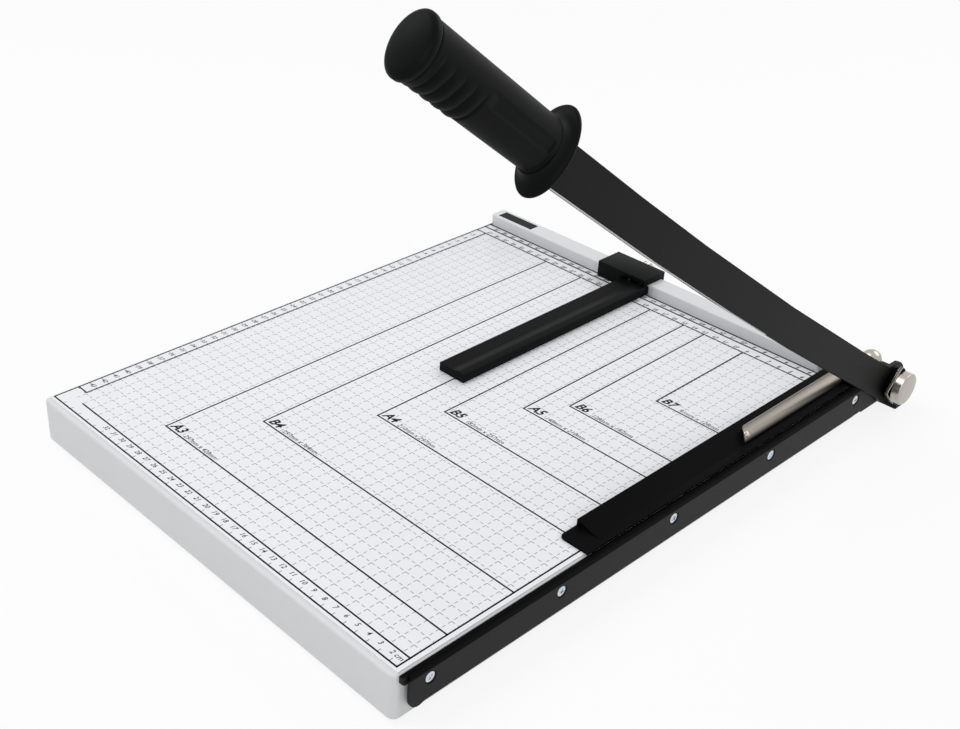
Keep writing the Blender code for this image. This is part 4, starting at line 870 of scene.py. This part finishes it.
def makeGrip():
    barrel = bendGrid("gripBarrel", 144, 200, gripBarrelPoint, gripPlace)
    finishNode(barrel, mouldedFinish, "grip", angle=40)
    guardStations = [  # (along, half width, half height)
        (-4.7, 0, 0), (-4.7, 10.9, 14.7), (-4.5, 11.3, 15.1), (-4.1, 11.5, 15.3), (-3.0, 11.6, 15.5),
        (-2.3, 11.8, 16.1), (-1.9, 12.2, 17.6), (-1.75, 12.8, 20.6), (-1.65, 13.4, 22.8), (-1.4, 13.9, 23.7),
        (-0.9, 14.2, 24.3), (-0.2, 14.35, 24.55), (0.4, 14.3, 24.45), (1.0, 14.1, 24.1), (1.4, 13.8, 23.4),
        (1.7, 13.4, 22.3), (2.1, 13.05, 20.8), (2.8, 12.7, 19.3), (3.8, 12.35, 18.0), (5.0, 12.05, 16.9),
        (6.4, 11.8, 16.05), (7.6, 11.65, 15.6), (8.3, 11.62, 15.42), (8.65, 11.6, 15.4), (8.7, 11.5, 15.3),
        (8.7, 0, 0)]
    guard = addTurned("handGuard", guardStations, 128, gripPlace)
    finishNode(guard, mouldedFinish, "hand_guard", angle=50)
    capStations = [
        (112.3, 0, 0), (112.3, 11.0, 14.8), (112.4, 11.5, 15.3), (112.8, 12.0, 15.95), (113.4, 12.2, 16.2),
        (115.6, 12.2, 16.2), (116.2, 12.05, 16.05), (116.6, 11.8, 15.8), (117.6, 10.9, 14.9),
        (118.0, 10.5, 14.5), (118.35, 9.9, 13.8), (118.8, 8.7, 12.2), (119.3, 7.1, 10.0), (119.8, 5.1, 7.3),
        (120.2, 3.0, 4.3), (120.4, 1.2, 1.7), (120.45, 0, 0)]
    cap = addTurned("gripCap", capStations, 128, gripPlace)
    finishNode(cap, mouldedFinish, "grip_cap", angle=38)


makeArm()
makeGrip()
print("arm and grip ready")


# Pivot

def ringProfile(low, high, radius, hole, edge):  # a washer with rounded outer edges, closed on its bore
    profile = [(low, hole)] + arcProfile(low + edge, radius - edge, edge, -90, 0, 4)
    return profile + arcProfile(high - edge, radius - edge, edge, 0, 90, 4) + [(high, hole), (low, hole)]


def makePivot():
    look = {"capLow": 7.8, "capRadius": 13.0, "capBevel": 0.8, "capEdge": 0.4, "capMiddle": 6.0, "bolt": 5.0,
            "tipBevel": 0.8, "bore": 5.3, "edge": 0.35}
    low, high = boxFromDatum("pivot_bolt")
    tip, capHigh, capLow = low.x, high.x, look["capLow"]
    bolt, cap, bevel = look["bolt"], look["capRadius"], look["capBevel"]
    profile = [(tip, 0), (tip, bolt - look["tipBevel"]), (tip + look["tipBevel"], bolt), (capLow, bolt),
               (capLow, cap - look["capEdge"]), (capLow + look["capEdge"], cap), (capHigh - bevel, cap),
               (capHigh - 0.5 * bevel, cap - 0.3 * bevel), (capHigh - 0.15 * bevel, cap - 0.7 * bevel),
               (capHigh, cap - 1.2 * bevel), (capHigh, look["capMiddle"]), (capHigh, 0)]
    finishTurned("pivotBolt", profile, 96, pivotAxisPlace, turnedFinish, "pivot_bolt", angle=30)
    for node, name, finish in (("spring_seat_outer", "springSeatOuter", nickelFinish),
                               ("spring_seat_inner", "springSeatInner", nickelFinish),
                               ("pivot_collar", "pivotCollar", deepBlackFinish)):
        low, high = boxFromDatum(node)
        outline = ringProfile(low.x, high.x, (high.z - low.z) / 2, look["bore"], look["edge"])
        finishTurned(name, outline, 72, pivotAxisPlace, finish, node)


def makeLockPlate():
    plate = copyOfNode("lock_plate", "lockPlate")
    softenEdges(plate, 0.4 * mm, 3)
    finishNode(plate, nickelFinish, "lock_plate")
    plate.data.materials.append(deepBlackFinish)
    plate.data.materials.append(darkSteelFinish)
    for face in plate.data.polygons:  # blackened sides, a dark stamped edge and corners rubbed bright
        if abs(face.normal.x) > 0.95:
            face.material_index = 1
        elif abs(face.normal.x) < 0.1:
            face.material_index = 2


def makeSpring():
    look = {"wire": 1.0, "coil": 7.4, "turns": 4.0, "length": 17.0}
    end = boxFromDatum("pivot_spring")[1].x
    travel = look["length"] - 4 * look["wire"]

    def springPoint(around, along):
        share = wallShare(along)
        turn = 2 * math.pi * look["turns"] * share
        angle = 2 * math.pi * around
        wire = 0.0 if isClosingRow(along) else look["wire"]
        radius = look["coil"] + wire * math.cos(angle)
        reach = end - 2 * look["wire"] - travel * share + wire * math.sin(angle)
        return radius * math.cos(turn), -reach, radius * math.sin(turn)
    spring = bendGrid("pivotSpring", 16, 200, springPoint, pivotAxisPlace)
    finishNode(spring, springFinish, "pivot_spring", angle=60)


def makeDomeNut():
    look = {"radius": 7.6, "skirt": 4.2, "rise": 6.8, "stem": 2.5, "edge": 0.4, "steps": 14}
    low, high = boxFromDatum("dome_nut")
    radius, rise, edge = look["radius"], look["rise"], look["edge"]
    shoulder = high.z - rise
    base = shoulder - look["skirt"]
    profile = [(low.z, 0), (low.z, look["stem"]), (base, look["stem"]), (base, radius - edge),
               (base + edge, radius), (shoulder, radius)]
    for step in range(1, look["steps"]):
        angle = math.radians(90 * step / look["steps"])
        profile.append((shoulder + rise * math.sin(angle), radius * math.cos(angle)))
    profile.append((high.z, 0))
    place = Matrix.Translation(fromDatum((low.x + high.x) / 2, (low.y + high.y) / 2, 0)) @ uprightTurn
    finishTurned("domeNut", profile, 72, place, nickelFinish, "dome_nut")


def makeFeet():
    look = {"rim": ((0, 1.4), (0.12, 0.8), (0.5, 0.3), (1.0, 0.1), (1.8, 0.0), (2.2, 0.3)),  # (height, inset)
            "height": 2.2, "neck": 2.6, "barb": 4.0}
    for node in ("foot_front_left", "foot_front_right", "foot_rear_left", "foot_rear_right"):
        low, high = boxFromDatum(node)
        base, top, radius = low.z, high.z, (high.x - low.x) / 2
        profile = [(base, 0)] + [(base + height, radius - inset) for height, inset in look["rim"]]
        profile += [(base + look["height"], look["neck"]), (top - 1.6, look["neck"]), (top - 1.6, 3.9),
                    (top - 1.3, look["barb"]), (top - 0.2, 2.7), (top, 2.3), (top, 0)]
        place = Matrix.Translation(fromDatum((low.x + high.x) / 2, (low.y + high.y) / 2, 0)) @ uprightTurn
        name = "".join(word.title() if word != "foot" else word for word in node.split("_"))
        finishTurned(name, profile, 64, place, rubberFinish, node)


def makeBarScrews():
    look = {"head": 3.7, "rise": 0.35, "slotLength": 3.8, "slotWidth": 0.9, "slotDepth": 0.95,
            "slotOver": 2.0, "shank": 2.0, "tip": 1.7, "cone": 1.2, "count": 5, "firstTurn": 48,
            "turnStep": 31}
    head, rise, shank = look["head"], look["rise"], look["shank"]
    for index in range(look["count"]):
        node = "bar_screw_%d" % (index + 1)
        low, high = boxFromDatum(node)
        start, face, y, z = low.x, high.x, (low.y + high.y) / 2, (low.z + high.z) / 2
        profile = [(start, 0), (start, look["tip"]), (start + 0.4, shank), (face - look["cone"], shank),
                   (face - 0.25, head), (face - 0.05, head - 0.1), (face + 0.12, head - 0.6),
                   (face + 0.25, head - 1.5), (face + rise, 0.9), (face + rise, 0)]
        place = Matrix.Translation(fromDatum(0, y, z)) @ acrossTurn
        screw = addTurned("barScrew%d" % (index + 1), roundStations(profile), 40, place)
        corner = Vector((look["slotOver"], look["slotLength"] / 2, look["slotWidth"] / 2)) * mm
        turn = math.radians(look["firstTurn"] + look["turnStep"] * index)
        for angle in (turn, turn + math.pi / 2):
            slot = addBlock("slotTool", (-look["slotDepth"] * mm, -corner.y, -corner.z), corner)
            slot.matrix_world = (Matrix.Translation(fromDatum(face + rise, y, z))
                                 @ Matrix.Rotation(angle, 4, "X"))
            settle("slotTool")
            useModifier(screw, "BOOLEAN", object=slot, operation="DIFFERENCE", solver="EXACT")
            bpy.data.objects.remove(slot, do_unlink=True)
        finishNode(screw, zincFinish, node)


makePivot()
makeLockPlate()
makeSpring()
makeDomeNut()
makeFeet()
makeBarScrews()
print("pivot, feet and screws ready")


# Leaf spring on the guard, and the gauge's arm

leafShape = {"left": -22.3, "right": -13.5, "low": 2.65, "top": 8.3, "thick": 0.75, "lip": 1.5,
             "front": -128.9, "back": -4.9, "slant": 8.0, "clip": 2.6, "clipShare": 0.84, "crease": 0.8,
             "creaseShare": 0.87, "creaseHalfShare": 0.03, "lipShare": 0.88, "lipDroop": 0.45,
             "lipPower": 1.5, "lipTurn": 0.35, "roundShare": 0.03}
leafAcross = leafShape["right"] - leafShape["left"]


def leafArch(angle):  # a point on the leaf's middle line and the way that its outer face looks
    rise = leafShape["top"] - leafShape["low"]
    x = leafShape["right"] - leafAcross * (1 - math.cos(angle))
    point = Vector((x, 0, leafShape["low"] + rise * math.sin(angle)))
    return point, Vector((rise * math.cos(angle), 0, leafAcross * math.sin(angle))).normalized()


def leafPoint(around, along):
    # Arched strip with a fine lip along its upper edge and an oblique front end, clipped at one corner
    loop = around * 2
    outer = loop <= 1.0
    share = loop if outer else 2.0 - loop
    lipShare, clipShare = leafShape["lipShare"], leafShape["clipShare"]
    point, normal = leafArch(math.radians(90 * min(share / lipShare, 1.0)))
    fromCrease = (share - leafShape["creaseShare"]) / leafShape["creaseHalfShare"]
    point -= normal * leafShape["crease"] * math.exp(-fromCrease ** 2)
    if share > lipShare:
        extra = (share - lipShare) / (1 - lipShare)
        droop = leafShape["lipDroop"] * extra ** leafShape["lipPower"]
        point -= leafShape["lip"] * Vector((extra, 0, droop))
        normal = Vector((-leafShape["lipTurn"] * extra, 0, 1)).normalized()
    slant = leafShape["slant"] * (leafShape["right"] - point.x) / leafAcross
    clip = leafShape["clip"] * smoothStep((share - clipShare) / (1 - clipShare))
    front = leafShape["front"] + slant + clip
    rounding = min(share, 1 - share) / leafShape["roundShare"]
    half = leafShape["thick"] / 2 * (math.sqrt(max(0.0, 1 - (1 - rounding) ** 2)) if rounding < 1 else 1.0)
    if 0.01 <= along <= 0.99:
        point += normal * half * (1 if outer else -1)
    y = front + (leafShape["back"] - front) * min(max((along - 0.02) / 0.96, 0.0), 1.0)
    return point.x, y, point.z


def makeLeaf():
    leaf = bendGrid("leafSpring", 256, 60, leafPoint, Matrix.Translation(datum))
    finishNode(leaf, leafFinish, "leaf_spring", angle=50)


def makeRivet():  # its head leans with the leaf that it holds
    low, high = boxFromDatum("leaf_rivet")
    middle = (low + high) / 2
    point, normal = leafArch(math.acos(1 - (leafShape["right"] - middle.x) / leafAcross))
    profile = [(-1.4, 0), (-1.4, 1.6), (0.3, 1.6), (0.35, 2.3), (0.6, 2.4), (0.95, 2.1), (1.25, 1.5),
               (1.4, 0.8), (1.45, 0)]
    lean = Matrix.Rotation(math.atan2(normal.x, normal.z), 4, "Y") @ uprightTurn
    place = Matrix.Translation(fromDatum(middle.x, middle.y, point.z)) @ lean
    finishTurned("leafRivet", profile, 48, place, nickelFinish, "leaf_rivet")


def makeHingePin():
    look = {"radius": 1.5, "bevel": 0.4}
    low, high = boxFromDatum("guard_pin")
    radius, bevel = look["radius"], look["bevel"]
    profile = [(low.x, 0), (low.x, radius - bevel), (low.x + bevel, radius), (high.x - bevel, radius),
               (high.x, radius - bevel), (high.x, 0)]
    place = Matrix.Translation(fromDatum(0, (low.y + high.y) / 2, (low.z + high.z) / 2)) @ acrossTurn
    finishTurned("guardPin", profile, 40, place, zincFinish, "guard_pin")


def makeGaugeArm():
    look = {"ribs": 5, "firstRib": 2.2, "ribPitch": 2.3, "ribDepth": 0.45, "ribFlank": 0.35, "ribFloor": 0.4,
            "field": 7.3, "ridge": 8.4, "ridgeFoot": 9.0, "ridgeFrom": 7.4, "ridgeTo": 2.6, "drop": 1.4,
            "edge": 0.4 * mm}
    low, high = boxFromDatum("gauge_arm")
    left, right, field, ridge = low.x, high.x, look["field"], look["ridge"]
    outline = [(left, low.z), (left, field)]
    for rib in range(look["ribs"]):
        x = left + look["firstRib"] + rib * look["ribPitch"]
        floorStart = x + look["ribFlank"]
        floorEnd = floorStart + look["ribFloor"]
        outline += [(x, field), (floorStart, field - look["ribDepth"]), (floorEnd, field - look["ribDepth"]),
                    (floorEnd + look["ribFlank"], field)]
    outline += [(right - look["ridgeFoot"], field), (right - look["ridgeFrom"], ridge),
                (right - look["ridgeTo"], ridge), (right, field - look["drop"]), (right, low.z)]
    arm = addPlate("gaugeArm", outline, 1, low.y, high.y)
    softenEdges(arm, look["edge"], 3, angle=50)
    finishNode(arm, mouldedFinish, "gauge_arm")


makeLeaf()
makeRivet()
makeHingePin()
makeGaugeArm()
print("guard and gauge ready")
